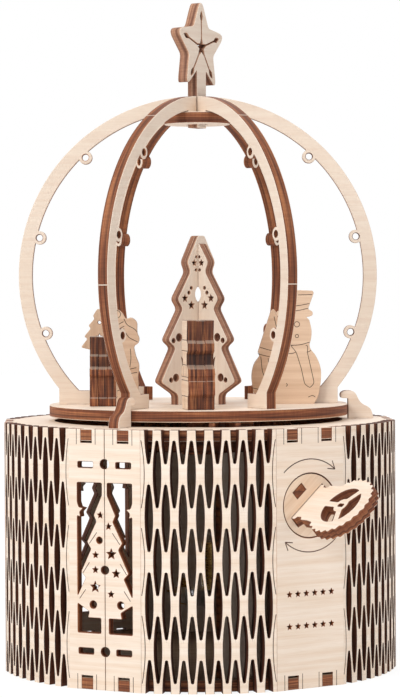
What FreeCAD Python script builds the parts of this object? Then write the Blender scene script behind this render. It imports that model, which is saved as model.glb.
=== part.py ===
import FreeCAD, Part
import Sketcher
import math
import os

# Clockwork carousel music box of laser-cut plywood, in millimetres.
# The origin is on the drum's axis, on the ground; +Z is up and -Y is the front.
# An azimuth is counted from the front (-Y) towards +X, in degrees.

SIZES = [
    # stock and fits
    ("ply", 4.0, "thickness of a plywood plate"),
    ("layer", 3.1, "thickness of one layer of a layered figure"),
    ("fit_gap", 0.1, "play on each side of a glued tab in its slot"),
    ("run_gap", 0.3, "free space between a moving and a fixed piece"),
    ("bore_gap", 0.05, "radial play of a shaft in its bore"),
    # drum
    ("drum_height", 88.0, "height of the wrap, base plate to deck"),
    ("drum_radius", 70.7, "radius over the corners of the flat panels"),
    ("wrap_thick", 3.0, "thickness of the bent wrap sheet"),
    ("sheet_count", 3, "number of wrap sheets round the drum"),
    ("panel_half_angle", 11.2, "half the angle that a flat panel takes"),
    ("fold_columns", 16, "half pitches of the living hinge between panels"),
    ("fold_every", 3, "half pitches between two fold lines"),
    ("slot_rows", 3, "hinge slots in one full column"),
    ("slot_bar", 6.7, "height of the bar between two slots of a column"),
    ("slot_width", 2.8, "width of a hinge slot at its middle"),
    ("seam_gap", 0.1, "half the kerf between two wrap sheets"),
    ("tab_spread", 7.05, "distance of a plate tab from the panel's middle"),
    ("tab_width", 4.2, "width of a plate tab"),
    ("notch_depth", 4.7, "depth of the notch that takes a plate tab"),
    ("deck_lap", 2.0, "reach of the deck under the turntable's rim"),
    ("pinion_clear", 0.7, "free space between the drive pinion and the deck"),
    ("bearing_overlap", 10.5, "reach of the bearing plate under the deck ring"),
    ("bearing_sides", 12, "sides of the bearing plate"),
    ("figure_chords", 4, "chords in each round stretch of a figure"),
    ("rim_chords", 40, "chords that a large round edge is cut with"),
    ("small_chords", 24, "chords that a small round edge is cut with"),
    ("bore_sides", 16, "sides of a small hole round a shaft"),
    # window panel
    ("window_half", 10.5, "half the width of the tree window"),
    ("window_low", 19.2, "height of the window's lower edge"),
    ("window_drop", 18.1, "distance of the window's upper edge from the drum's top"),
    ("vent_length", 5.8, "length of the small slots over the window"),
    ("vent_width", 2.0, "width of the small slots over the window"),
    ("vent_spread", 7.3, "distance of a small slot from the seam"),
    ("vent_inset", 12.6, "distance of the small slots from the drum's ends"),
    # boards inside the drum
    ("board_inset", 12.35, "distance of a board's inner face from its panel"),
    ("board_half", 15.0, "half the width of the left board"),
    ("rear_board_half", 21.0, "half the width of the rear board"),
    ("rear_board_azimuth", 180.0, "azimuth of the rear board"),
    ("movement_board_half", 28.0, "half the width of the movement's board"),
    ("board_tenon", 8.0, "width of a board's tenons"),
    ("board_tenon_spread", 9.0, "distance of a board tenon from its middle"),
    # turntable and its drive
    ("deck_width", 17.2, "distance of the turntable's rim inside the drum's corners"),
    ("turntable_rise", 5.7, "height of the turntable's upper face over the deck"),
    ("rest_turn", -2.8, "angle at which the turntable came to rest"),
    ("axle_radius", 3.0, "radius of the turntable's axle"),
    ("washer_side", 16.0, "side of the square thrust washer"),
    ("washer_thick", 1.6, "thickness of the thrust washer"),
    ("axle_head", 12.0, "side of the square head that keeps the axle down"),
    ("gear_teeth", 25, "teeth of the gear under the turntable"),
    ("pinion_teeth", 8, "teeth of the pinion on the cylinder arbor"),
    ("backlash", 0.5, "play between the teeth on the pitch circle"),
    ("addendum", 0.85, "height of a tooth over the pitch circle, in modules"),
    ("dedendum", 1.25, "depth of a tooth under the pitch circle, in modules"),
    ("flank_angle", 20, "slope of a tooth's flank"),
    ("pinion_thick", 3.4, "thickness of the pinion"),
    # dome
    ("arch_radius", 64.2, "outer radius of an arch"),
    ("arch_band", 4.8, "radial width of an arch"),
    ("arch_end", 3.6, "distance of an arch's upper end from the axis"),
    ("arch_count", 6, "number of arches"),
    ("arch_chords", 12, "chords in each long edge of an arch"),
    ("arch_azimuth", -30.0, "azimuth of the first arch on the turntable"),
    ("foot_inset", 3.5, "distance of an arch's foot inside the turntable's rim"),
    ("foot_length", 12.5, "length of an arch's foot"),
    ("foot_height", 4.9, "height of an arch's foot"),
    ("foot_shoulder", 5.7, "height of the upright outer end of an arch's foot"),
    ("foot_tenon", 6.0, "length of the tenon under an arch's foot"),
    ("eyelet_radius", 2.4, "outer radius of an eyelet"),
    ("eyelet_hole", 1.3, "radius over the corners of the hole in an eyelet"),
    ("eyelet_sides", 6, "sides of the hole in an eyelet"),
    ("eyelet_sink", 1.0, "distance of an eyelet's centre inside the arch"),
    ("eyelet_low", -20.5, "elevation of the lowest eyelet on its arch"),
    ("eyelet_middle", 13.7, "elevation of the middle eyelet"),
    ("eyelet_high", 46.7, "elevation of the highest eyelet"),
    ("hub_radius", 11.75, "radius of the disc that joins the arches"),
    ("hub_sink", 1.3, "distance of the hub disc's top under the arches' inner edge"),
    ("hub_hole", 2.5, "radius of the hole in the hub disc"),
    ("hub_seat", 9.4, "reach of the flat on an arch that rests on the hub disc"),
    # star
    ("star_rise", 23.6, "height of the star's centre over the hub disc"),
    ("star_tip", 18.2, "distance of the star's tips from its centre"),
    ("star_valley", 8.9, "distance of the star's inner corners"),
    ("star_nose", 2.5, "length that is blunted at each tip of the star"),
    ("star_stem", 6.4, "width of the star's stem"),
    ("star_hole", 2.4, "radius of the five-pointed hole in the star"),
    ("drop_centre", 11.3, "distance of the drop holes from the star's centre"),
    ("drop_length", 4.2, "length of a drop hole"),
    ("drop_width", 2.0, "width of a drop hole"),
    # big tree
    ("tree_height", 60.3, "height of the crossed tree"),
    ("tree_half", 20.3, "half the width of the lowest tier"),
    ("tree_trunk", 11.9, "half the width of the trunk"),
    ("trunk_height", 3.6, "height of the trunk under the lowest tier"),
    ("tree_tenon", 5.0, "length of a tenon under the tree"),
    ("tree_lap", 27.1, "height at which the two tree plates' slots meet"),
    ("slot_top", 57.3, "height at which the slotted tree plate ends"),
    ("tree_tip", 1.6, "half the width of the top"),
    ("tree_eye", 3.3, "radius of the hole in the middle of the tree"),
    ("tree_eye_height", 39.3, "height of that hole over the turntable"),
    # figures
    ("snowman_height", 40.8, "height of the snowman"),
    ("snowman_body", 9.6, "radius of the snowman's body"),
    ("snowman_head", 6.3, "radius of the snowman's head"),
    ("snowman_inset", 19.1, "distance of the snowman inside the turntable's rim"),
    ("santa_height", 33.9, "height of the Santa figure"),
    ("santa_half", 7.0, "half the width of the Santa figure"),
    ("gnome_height", 34.0, "height of the gnome"),
    ("gnome_half", 8.0, "half the width of the gnome"),
    ("soldier_height", 30.6, "height of the toy soldier"),
    ("soldier_half", 7.2, "half the width of the toy soldier"),
    ("gift_height", 24.6, "height of the stacked presents"),
    ("gift_half", 7.0, "half the width of the stacked presents"),
    ("sapling_height", 34.0, "height of the small tree"),
    ("sapling_half", 6.9, "half the width of the small tree"),
    ("sapling_stem", 17.5, "height of the small tree's stem under its crown"),
    ("sapling_trunk", 2.5, "half the width of the small tree's trunk"),
    ("santa_inset", 21.8, "distance of the Santa inside the rim"),
    ("santa_azimuth", -118.0, "azimuth of the Santa"),
    ("santa_twist", 208.0, "turn of the Santa off its radius"),
    ("gnome_inset", 22.5, "distance of the gnome inside the rim"),
    ("gnome_azimuth", 118.0, "azimuth of the gnome"),
    ("gnome_twist", -28.0, "turn of the gnome off its radius"),
    ("soldier_inset", 10.5, "distance of the toy soldier inside the rim"),
    ("soldier_twist", 10.0, "turn of the toy soldier off its radius"),
    ("gift_inset", 17.5, "distance of the stacked presents inside the rim"),
    ("gift_azimuth", -69.0, "azimuth of the stacked presents"),
    ("sapling_inset", 9.0, "distance of the small tree inside the rim"),
    ("sapling_azimuth", -125.0, "azimuth of the small tree"),
    ("sapling_twist", 35.0, "turn of the small tree off its radius"),
    # keepers of the turntable
    ("keeper_gap", 0.4, "free space between a keeper and the turntable's rim"),
    ("keeper_length", 9.0, "length of a keeper's foot on the deck"),
    ("keeper_nose", 2.9, "reach of a keeper's nose over the turntable"),
    ("keeper_lift", 1.5, "free space under a keeper's nose"),
    ("keeper_head", 2.9, "height of a keeper's nose"),
    ("keeper_tenon", 5.0, "length of a keeper's tenon in the deck"),
    # winding key
    ("key_drop", 26.2, "distance of the winding shaft under the drum's top"),
    ("key_disc", 10.7, "radius of the disc in the key panel"),
    ("key_collar", 12.6, "radius over the corners of the collar in the drum"),
    ("key_tilt", 41.0, "angle of the key's plate from the horizontal"),
    ("key_neck_half", 8.2, "half the width of the key's neck"),
    ("key_neck", 8.7, "length of the key's neck"),
    ("key_bow", 12.5, "radius over the teeth of the key's bow"),
    ("key_reach", 19.4, "distance of the bow's centre from the panel"),
    ("key_teeth", 26, "teeth round the whole bow"),
    ("key_tooth", 0.8, "depth of the bow's teeth"),
    ("key_windows", 3, "windows round the bow's hub"),
    ("key_window_inner", 3.1, "inner radius of the bow's windows"),
    ("key_window_outer", 7.7, "outer radius of the bow's windows"),
    ("key_spoke", 2.6, "width of the spokes between the windows"),
    ("key_slot_long", 2.6, "length of the slot in the bow's hub"),
    ("key_slot_wide", 1.2, "width of the slot in the bow's hub"),
    ("collar_sides", 8, "sides of the collar in the drum"),
    ("key_peg_spread", 6.7, "distance of a collar peg from the shaft"),
    ("key_peg_length", 4.4, "length of a collar peg"),
    ("key_peg_width", 2.6, "width of a collar peg"),
    ("shaft_radius", 1.8, "radius of the winding shaft"),
    # movement
    ("bed_thick", 2.5, "thickness of the movement's bedplate"),
    ("bed_under", 36.8, "reach of the bedplate under the winding shaft"),
    ("bed_over", 15.2, "reach of the bedplate over the winding shaft"),
    ("bed_left", -28.0, "left edge of the bedplate from the shaft"),
    ("bed_right", 17.0, "right edge of the bedplate from the shaft"),
    ("spring_radius", 13.0, "outer radius of the spring housing"),
    ("spring_depth", 14.0, "depth of the spring housing"),
    ("cylinder_offset", -16.0, "cylinder axis, sideways from the shaft"),
    ("cylinder_radius", 6.6, "radius of the pinned cylinder"),
    ("cylinder_set", 13.5, "distance of the cylinder's axis from the bedplate"),
    ("cylinder_under", 30.3, "distance of the cylinder's lower end under the shaft"),
    ("cylinder_length", 16.5, "length of the pinned cylinder"),
    ("arbor_radius", 1.2, "radius of the cylinder's arbor"),
    ("wheel_radius", 7.6, "radius over the teeth of the cylinder wheel"),
    ("wheel_teeth", 18, "teeth of the cylinder wheel"),
    ("wheel_thick", 1.4, "thickness of the cylinder wheel"),
    ("wheel_tooth", 0.9, "depth of the cylinder wheel's teeth"),
    ("cheek_thick", 2.0, "thickness of a bearing cheek"),
    ("cheek_half", 2.8, "half the width of a bearing cheek"),
    ("cheek_over", 3.6, "reach of a bearing cheek past the arbor"),
    ("comb_teeth", 18, "teeth of the comb"),
    ("comb_thick", 1.2, "thickness of the comb"),
    ("comb_gap", 0.7, "free space between the comb and the cylinder"),
    ("comb_tooth", 8.0, "length of a comb tooth"),
    ("comb_back", 8.0, "width of the comb's solid back"),
    ("worm_radius", 1.7, "radius of the governor's worm"),
    ("worm_gap", 0.4, "free space between the worm and the wheel"),
    ("worm_length", 6.0, "length of the worm"),
    ("spindle_radius", 0.6, "radius of the governor's spindle"),
    ("fan_radius", 4.6, "reach of the governor's fan"),
    ("fan_length", 5.0, "length of the fan's wings"),
    ("fan_thick", 0.6, "thickness of the fan's wings"),
    ("fan_hub", 1.1, "half the side of the fan's square hub"),
    ("post_thick", 3.0, "length of the spindle that lies in one post"),
    ("post_half", 2.3, "half the width of a post"),
    ("post_under", 3.7, "height of the spindle over the bracket's foot"),
    ("post_over", 1.6, "height of a post over the spindle"),
    ("bracket_thick", 1.2, "thickness of the bracket's foot"),
]

doc = FreeCAD.newDocument("carousel_music_box")
sheet = doc.addObject("Spreadsheet::Sheet", "Sizes")
for row, (alias, value, note) in enumerate(SIZES, start=1):
    sheet.set(f"A{row}", alias)
    sheet.set(f"B{row}", str(value))
    sheet.set(f"C{row}", note)
    sheet.setAlias(f"B{row}", alias)
doc.recompute()

nodes = []


def cell(alias):
    """The value of a cell of the sheet, as a number."""
    return float(sheet.get(alias))


def count(alias):
    """The value of a cell that holds a whole number."""
    return int(round(cell(alias)))


# ---------------------------------------------------------------- directions

UP = FreeCAD.Vector(0, 0, 1)


def outward(azimuth):
    """The level direction that points away from the axis at an azimuth."""
    angle = math.radians(azimuth)
    return FreeCAD.Vector(math.sin(angle), -math.cos(angle), 0)


def sideways(azimuth):
    """The level direction across the outward one, to the right seen from outside."""
    angle = math.radians(azimuth)
    return FreeCAD.Vector(math.cos(angle), math.sin(angle), 0)


def frame(origin, x_axis, y_axis):
    """A placement at origin whose own X and Y point along the two directions."""
    z_axis = x_axis.cross(y_axis)
    return FreeCAD.Placement(origin, FreeCAD.Rotation(x_axis, y_axis, z_axis, "XYZ"))


def level(height, turn=0.0):
    """A placement for a level plate whose lower face is at height."""
    return FreeCAD.Placement(UP * height, FreeCAD.Rotation(UP, turn))


def facing(azimuth, distance):
    """A placement for a plate that faces outward: X sideways, Y up, Z outward."""
    return frame(outward(azimuth) * distance, sideways(azimuth), UP)


def radial(azimuth, thickness, radius=0.0, height=0.0, twist=0.0):
    """A placement for an upright plate: X outward (turned by twist), Y up.

    The plate is centred on the radial plane, so half its thickness is on each side.
    """
    along = outward(azimuth + twist)
    across = along.cross(UP)
    origin = outward(azimuth) * radius + UP * height - across * (thickness / 2)
    return frame(origin, along, UP)


def on_drum(azimuth, side, depth, height):
    """A point given by its panel's azimuth, sideways place, distance and height."""
    return sideways(azimuth) * side + outward(azimuth) * depth + UP * height


def turned(azimuth):
    """The azimuth at rest of a piece that stands on the turntable."""
    return azimuth + cell("rest_turn")


# ------------------------------------------------------------------ outlines
# An outline is a list of steps. A step (x, y) is a line to that point; a step
# ((x, y), (x, y)) is an arc through the first point to the second.


def outline_edges(steps):
    """The sketch curves of a closed outline."""
    curves = []
    start = steps[0]
    here = FreeCAD.Vector(start[0], start[1], 0)
    first = here
    for step in list(steps[1:]) + [start]:
        if isinstance(step[0], tuple):
            middle = FreeCAD.Vector(step[0][0], step[0][1], 0)
            there = FreeCAD.Vector(step[1][0], step[1][1], 0)
            curves.append(Part.Arc(here, middle, there))
        else:
            there = FreeCAD.Vector(step[0], step[1], 0)
            if there.distanceToPoint(here) > 1e-6:
                curves.append(Part.LineSegment(here, there))
        here = there
    if here.distanceToPoint(first) > 1e-6:
        curves.append(Part.LineSegment(here, first))
    return curves


def rectangle(x, y, width, height):
    """The outline of a rectangle about a centre."""
    half_x = width / 2
    half_y = height / 2
    return [(x - half_x, y - half_y), (x + half_x, y - half_y),
            (x + half_x, y + half_y), (x - half_x, y + half_y)]


def mirrored(steps):
    """An outline that runs up one side, closed by its mirror image in the Y axis."""
    other = [(-x, y) for x, y in reversed(steps) if abs(x) > 1e-6]
    return list(steps) + other


def polar(radius, degrees, x=0.0, y=0.0):
    """A point on a circle about (x, y)."""
    angle = math.radians(degrees)
    return (x + radius * math.cos(angle), y + radius * math.sin(angle))


def chorded(steps):
    """An outline whose arcs are cut as a few straight chords."""
    chords = count("figure_chords")
    points = [steps[0]]
    for step in steps[1:]:
        if not isinstance(step[0], tuple):
            points.append(step)
            continue
        ends = [FreeCAD.Vector(x, y, 0) for x, y in (points[-1],) + step]
        arc = Part.Arc(*ends).toShape()
        points += [(spot.x, spot.y) for spot in arc.discretize(chords + 1)[1:]]
    return points


def round_outline(radius, sides, x=0.0, y=0.0):
    """The corners of a round edge that is cut as straight chords."""
    return [polar(radius, 360 * index / sides, x, y) for index in range(sides)]


def around(radius, sides):
    """The radius over the corners of a chorded hole that clears a radius."""
    return radius / math.cos(math.pi / sides)


def bore(radius_cell, play=0.0, x=0.0, y=0.0):
    """The corners of a hole round a shaft of a cell's radius."""
    sides = count("bore_sides")
    return round_outline(around(cell(radius_cell) + play, sides), sides, x, y)


def star_outline(tip, valley, x=0.0, y=0.0):
    """The ten corners of a five-pointed star that stands upright."""
    corners = []
    for index in range(10):
        reach = tip if index % 2 == 0 else valley
        corners.append(polar(reach, 90 + 36 * index, x, y))
    return corners


def tooth_outline(teeth, module, gap=0.0):
    """A gear outline with straight flanks, four corners to a tooth."""
    pitch = module * teeth / 2
    pitch_angle = 360 / teeth
    half_tooth = pitch_angle / 4 - math.degrees(gap / 2 / pitch)
    rake = math.degrees(math.tan(math.radians(cell("flank_angle"))) * module / pitch)
    corners = []
    for index in range(teeth):
        middle = index * pitch_angle
        root = pitch - cell("dedendum") * module
        tip = pitch + cell("addendum") * module
        corners.append(polar(root, middle - half_tooth - rake))
        corners.append(polar(tip, middle - half_tooth + rake))
        corners.append(polar(tip, middle + half_tooth - rake))
        corners.append(polar(root, middle + half_tooth + rake))
    return corners


# -------------------------------------------------------------------- pieces


def origin_plane(body, role):
    """One of a body's own origin planes, found by its role."""
    return next(plane for plane in body.Origin.OriginFeatures if plane.Role == role)


def finish_node(item, label, placement=None):
    """Names a finished sub-part, sets its place and lists it for export."""
    item.Label = label
    if placement is not None:
        item.Placement = placement
    nodes.append(item)
    return item


def plate(name, outline, holes, thickness, placement=None, listed=True):
    """A flat piece: one sketch with its holes, padded to a cell of the sheet."""
    body = doc.addObject("PartDesign::Body", name)
    sketch = body.newObject("Sketcher::SketchObject", name + "_outline")
    sketch.AttachmentSupport = (origin_plane(body, "XY_Plane"), [""])
    sketch.MapMode = "FlatFace"
    curves = outline_edges(outline) if isinstance(outline[0], tuple) else outline
    sketch.addGeometry(curves, False)
    for hole in holes:
        edges = outline_edges(hole) if isinstance(hole[0], tuple) else hole
        sketch.addGeometry(edges, False)
    pad = body.newObject("PartDesign::Pad", name + "_pad")
    pad.Profile = sketch
    pad.setExpression("Length", f"Sizes.{thickness}")
    sketch.Visibility = False
    if placement is not None:
        body.Placement = placement
    body.Label = name
    if listed:
        nodes.append(body)
    return body


def rod(name, radius, length, placement):
    """A round bar along its own Z; radius and length are expressions of cells."""
    bar = doc.addObject("Part::Cylinder", name)
    bar.setExpression("Radius", radius)
    bar.setExpression("Height", length)
    bar.Placement = placement
    return bar


def prism(name, sides, radius, length, placement):
    """A bar with flat sides along its own Z; radius and length are expressions."""
    bar = doc.addObject("Part::Prism", name)
    bar.setExpression("Polygon", sides)
    bar.setExpression("Circumradius", radius)
    bar.setExpression("Height", length)
    bar.Placement = placement
    return bar


def block(name, length, width, height, placement):
    """A box from its own corner; the three sizes are expressions of cells."""
    box = doc.addObject("Part::Box", name)
    box.setExpression("Length", length)
    box.setExpression("Width", width)
    box.setExpression("Height", height)
    box.Placement = placement
    return box


def joined(name, pieces):
    """Several shapes made one solid."""
    fuse = doc.addObject("Part::MultiFuse", name)
    fuse.Shapes = pieces
    fuse.Refine = True
    return fuse


def cut(name, base, tool):
    """One shape less another."""
    item = doc.addObject("Part::Cut", name)
    item.Base = base
    item.Tool = tool
    return item


def group(name, pieces):
    """Separate solids that make one node."""
    item = doc.addObject("Part::Compound", name)
    item.Links = pieces
    return finish_node(item, name)


# ----------------------------------------------------------- drum, plan view

SHEETS = count("sheet_count")
PANEL_STEP = 180 / SHEETS
FIRST_SEAM = -30.0
KEY_AZIMUTH = FIRST_SEAM + PANEL_STEP
seams = [FIRST_SEAM + 2 * PANEL_STEP * index for index in range(SHEETS)]
middles = [seam + PANEL_STEP for seam in seams]

half_angle = math.radians(cell("panel_half_angle"))
PANEL_HALF = cell("drum_radius") * math.sin(half_angle)
PANEL_OUT = cell("drum_radius") * math.cos(half_angle)
PANEL_IN = PANEL_OUT - cell("wrap_thick")
TOP = cell("drum_height")
SLOT_PERIOD = TOP / cell("slot_rows")
TABLE_RADIUS = cell("drum_radius") - cell("deck_width")
TABLE_TOP = TOP + cell("turntable_rise")
DECK_OPENING = TABLE_RADIUS - cell("deck_lap")
BOARD_FACE = PANEL_IN - cell("board_inset")
KEY_HEIGHT = TOP - cell("key_drop")
FOLD_ANGLE = PANEL_STEP - 2 * cell("panel_half_angle")
COLUMN_ANGLE = FOLD_ANGLE / cell("fold_columns")
facet_half = math.radians(COLUMN_ANGLE * cell("fold_every") / 2)
FOLD_INNER = cell("drum_radius") - cell("wrap_thick") / math.cos(facet_half)
folds = (count("fold_columns") - count("fold_every")) // count("fold_every")
first_fold = (cell("fold_columns") - (folds - 1) * cell("fold_every")) / 2
FOLD_TURNS = [COLUMN_ANGLE * (first_fold + cell("fold_every") * index)
              for index in range(folds)]


def plan_point(azimuth, radius):
    """A point of the plan view, as plain x and y."""
    place = outward(azimuth) * radius
    return (place.x, place.y)


def plan_on_panel(azimuth, side, depth):
    """A plan point given on a panel: sideways place and distance from the axis."""
    place = on_drum(azimuth, side, depth, 0)
    return (place.x, place.y)


def drum_plan(play):
    """The plan of a plate that fills the drum, with a tab for each notch."""
    points = []
    edge = PANEL_IN - play
    for panel in range(2 * SHEETS):
        azimuth = FIRST_SEAM + panel * PANEL_STEP
        points.append(plan_on_panel(azimuth, -PANEL_HALF + play, edge))
        for side in (-cell("tab_spread"), cell("tab_spread")):
            half_tab = cell("tab_width") / 2
            points.append(plan_on_panel(azimuth, side - half_tab, edge))
            points.append(plan_on_panel(azimuth, side - half_tab, PANEL_OUT))
            points.append(plan_on_panel(azimuth, side + half_tab, PANEL_OUT))
            points.append(plan_on_panel(azimuth, side + half_tab, edge))
        points.append(plan_on_panel(azimuth, PANEL_HALF - play, edge))
        for turn in FOLD_TURNS:
            corner = azimuth + cell("panel_half_angle") + turn
            points.append(plan_point(corner, FOLD_INNER - play))
    return points


# ------------------------------------------------------------ wrap: its parts

NOTCH_HALF = cell("tab_width") / 2 + cell("fit_gap")


def notched_edge(sides, height, depth):
    """Steps along a level edge with one notch at each of the given places."""
    steps = []
    for side in sides:
        steps.append((side - NOTCH_HALF, height))
        steps.append((side - NOTCH_HALF, height + depth))
        steps.append((side + NOTCH_HALF, height + depth))
        steps.append((side + NOTCH_HALF, height))
    return steps


def middle_panel(name, azimuth, holes):
    """The flat panel in the middle of a sheet."""
    spread = cell("tab_spread")
    deep = cell("notch_depth")
    outline = [(-PANEL_HALF, 0)] + notched_edge((-spread, spread), 0, deep)
    outline += [(PANEL_HALF, 0), (PANEL_HALF, TOP)]
    upper = notched_edge((-spread, spread), TOP, -deep)
    outline += list(reversed(upper)) + [(-PANEL_HALF, TOP)]
    place = facing(azimuth, PANEL_IN)
    return plate(name, outline, holes, "wrap_thick", place, listed=False)


# Half the tree that stands in the window: (share of the window's half width,
# share of the window's height), from the top down to the trunk.
WINDOW_TREE = [(0.10, 1.0), (0.10, 0.92), (0.40, 0.785), (0.305, 0.743), (0.655, 0.605),
               (0.505, 0.56), (0.875, 0.404), (0.705, 0.367), (1.0, 0.25)]
WINDOW_FOOT = [(1.0, 0.193), (0.58, 0.142), (0.63, 0.10), (0.155, 0.10), (0.155, 0.0)]


def window_holes():
    """The two openings beside half a tree, right of the seam."""
    wide = cell("window_half")
    low = cell("window_low")
    tall = TOP - cell("window_drop") - low
    upper = [(wide * x, low + tall * y) for x, y in WINDOW_TREE]
    upper.append((wide, low + tall))
    lower = [(wide * x, low + tall * y) for x, y in WINDOW_FOOT]
    lower.append((wide, low))
    return [upper, lower]


def vent_holes():
    """The small level slots over and under the window, right of the seam."""
    heights = (cell("vent_inset"), TOP - cell("vent_inset"))
    return [rectangle(cell("vent_spread"), height, cell("vent_length"), cell("vent_width"))
            for height in heights]


def half_panel(name, azimuth, side):
    """Half a window panel: side is 1 right of the seam and -1 left of it."""
    seam = cell("seam_gap")
    spread = cell("tab_spread")
    deep = cell("notch_depth")
    outline = [(seam, 0)] + notched_edge((spread,), 0, deep)
    outline += [(PANEL_HALF, 0), (PANEL_HALF, TOP)]
    outline += list(reversed(notched_edge((spread,), TOP, -deep)))
    outline.append((seam, TOP))
    loops = [outline] + window_holes() + vent_holes()
    if side < 0:
        loops = [[(-x, y) for x, y in loop] for loop in loops]
    place = facing(azimuth, PANEL_IN)
    return plate(name, loops[0], loops[1:], "wrap_thick", place, listed=False)


def slot_heights(column):
    """The heights of the slots' middles in one column of the hinge.

    Odd columns start with half a slot that is open at the sheet's edge.
    """
    rows = count("slot_rows")
    shift = 0.0 if column % 2 else SLOT_PERIOD / 2
    last = rows + 1 if column % 2 else rows
    return [shift + SLOT_PERIOD * row for row in range(last)]


def slot_prism(azimuth, height):
    """The solid that cuts one pointed hinge slot through the sheet."""
    half_width = cell("slot_width") / 2
    half_length = (SLOT_PERIOD - cell("slot_bar")) / 2
    depth = cell("drum_radius") - 2 * cell("wrap_thick")
    corners = [(-half_width, 0), (0, -half_length), (half_width, 0), (0, half_length)]
    points = [on_drum(azimuth, x, depth, height + y) for x, y in corners]
    face = Part.Face(Part.makePolygon(points + [points[0]]))
    return face.extrude(outward(azimuth) * 3 * cell("wrap_thick"))


def fold(name, start):
    """The bent hinge between two panels, from the azimuth of the first corner."""
    turns = [0.0] + FOLD_TURNS + [FOLD_ANGLE]
    outer = [plan_point(start + turn, cell("drum_radius")) for turn in turns]
    inner = [plan_point(start + turn, FOLD_INNER) for turn in FOLD_TURNS]
    before = start - cell("panel_half_angle")
    after = start + FOLD_ANGLE + cell("panel_half_angle")
    inner.insert(0, plan_on_panel(before, PANEL_HALF, PANEL_IN))
    inner.append(plan_on_panel(after, -PANEL_HALF, PANEL_IN))
    plan = outer + list(reversed(inner))
    points = [FreeCAD.Vector(x, y, 0) for x, y in plan]
    strip = Part.Face(Part.makePolygon(points + [points[0]])).extrude(UP * TOP)
    tools = []
    for column in range(1, count("fold_columns")):
        azimuth = start + COLUMN_ANGLE * column
        tools += [slot_prism(azimuth, height) for height in slot_heights(column)]
    item = doc.addObject("Part::Feature", name)
    item.Shape = strip.cut(tools)
    return item


def wrap_sheet(name, seam, middle_holes):
    """One sheet: half panel, hinge, middle panel, hinge, half panel."""
    quarter = cell("panel_half_angle")
    middle = seam + PANEL_STEP
    pieces = [
        half_panel(name + "_start", seam, 1),
        fold(name + "_hinge_a", seam + quarter),
        middle_panel(name + "_middle", middle, middle_holes),
        fold(name + "_hinge_b", middle + quarter),
        half_panel(name + "_end", seam + 2 * PANEL_STEP, -1),
    ]
    return group(name, pieces)


key_hole = round_outline(around(cell("key_disc") + cell("run_gap"), count("small_chords")),
                         count("small_chords"), 0, KEY_HEIGHT)
wrap_sheet("wrap_sheet_key", seams[0], [key_hole])
wrap_sheet("wrap_sheet_rear", seams[1], [])
wrap_sheet("wrap_sheet_left", seams[2], [])


# ------------------------------------------------------------- level plates

BOARD_TOP = TOP - 2 * cell("ply")


BOARD_AZIMUTHS = (KEY_AZIMUTH, cell("rear_board_azimuth"), middles[2])


def board_slots():
    """The slots in the base plate that take the tenons of the three boards."""
    slots = []
    depth = BOARD_FACE + cell("ply") / 2
    wide = cell("board_tenon") + 2 * cell("fit_gap")
    deep = cell("ply") + 2 * cell("fit_gap")
    for azimuth in BOARD_AZIMUTHS:
        for side in (-cell("board_tenon_spread"), cell("board_tenon_spread")):
            corners = rectangle(side, depth, wide, deep)
            slots.append([plan_on_panel(azimuth, x, y) for x, y in corners])
    return slots


def keeper_slots():
    """The slots in the deck that take the keepers' tenons."""
    slots = []
    start = KEEPER_INNER + KEEPER_TENON_START - cell("fit_gap")
    end = start + cell("keeper_tenon") + 2 * cell("fit_gap")
    half = cell("ply") / 2 + cell("fit_gap")
    for azimuth in seams:
        corners = [(-half, start), (half, start), (half, end), (-half, end)]
        slots.append([plan_on_panel(azimuth, x, y) for x, y in corners])
    return slots


KEEPER_INNER = TABLE_RADIUS + cell("keeper_gap")
KEEPER_TENON_START = (cell("keeper_length") - cell("keeper_tenon")) / 2 + 1.0

plate("base_plate", drum_plan(cell("fit_gap")), board_slots(), "ply", level(0))

BED_IN = BOARD_FACE - cell("bed_thick")
CYLINDER_SIDE = cell("cylinder_offset")
CYLINDER_DEPTH = BED_IN - cell("cylinder_set")
CENTRES = math.hypot(CYLINDER_DEPTH, CYLINDER_SIDE)
MODULE = 2 * CENTRES / (cell("gear_teeth") + cell("pinion_teeth"))
arbor_x, arbor_y = plan_on_panel(KEY_AZIMUTH, CYLINDER_SIDE, CYLINDER_DEPTH)


def deck_opening():
    """The round opening in the deck, with a bay that clears the drive pinion's teeth."""
    bay = MODULE * (cell("pinion_teeth") / 2 + cell("addendum")) + cell("pinion_clear")
    middle = math.degrees(math.atan2(arbor_y, arbor_x))
    share = (DECK_OPENING ** 2 + CENTRES ** 2 - bay ** 2) / (2 * DECK_OPENING * CENTRES)
    apart = math.acos(share)
    swing = math.degrees(math.asin(DECK_OPENING * math.sin(apart) / bay))
    apart = math.degrees(apart)
    sides = count("rim_chords")
    chords = count("figure_chords")
    step = (360 - 2 * apart) / sides
    corners = [polar(DECK_OPENING, middle + apart + step * index)
               for index in range(sides + 1)]
    corners += [polar(bay, middle + swing * (2 * index / chords - 1), arbor_x, arbor_y)
                for index in range(1, chords)]
    return corners


plate("deck_plate", drum_plan(cell("fit_gap")), [deck_opening()] + keeper_slots(), "ply",
      level(TOP - cell("ply")))

bearing_holes = [bore("axle_radius", cell("bore_gap")),
                 bore("arbor_radius", cell("bore_gap"), arbor_x, arbor_y)]
bearing_radius = DECK_OPENING + cell("bearing_overlap")
plate("bearing_plate", round_outline(bearing_radius, count("bearing_sides")),
      bearing_holes, "ply", level(BOARD_TOP))


# ------------------------------------------------------------------- boards


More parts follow.
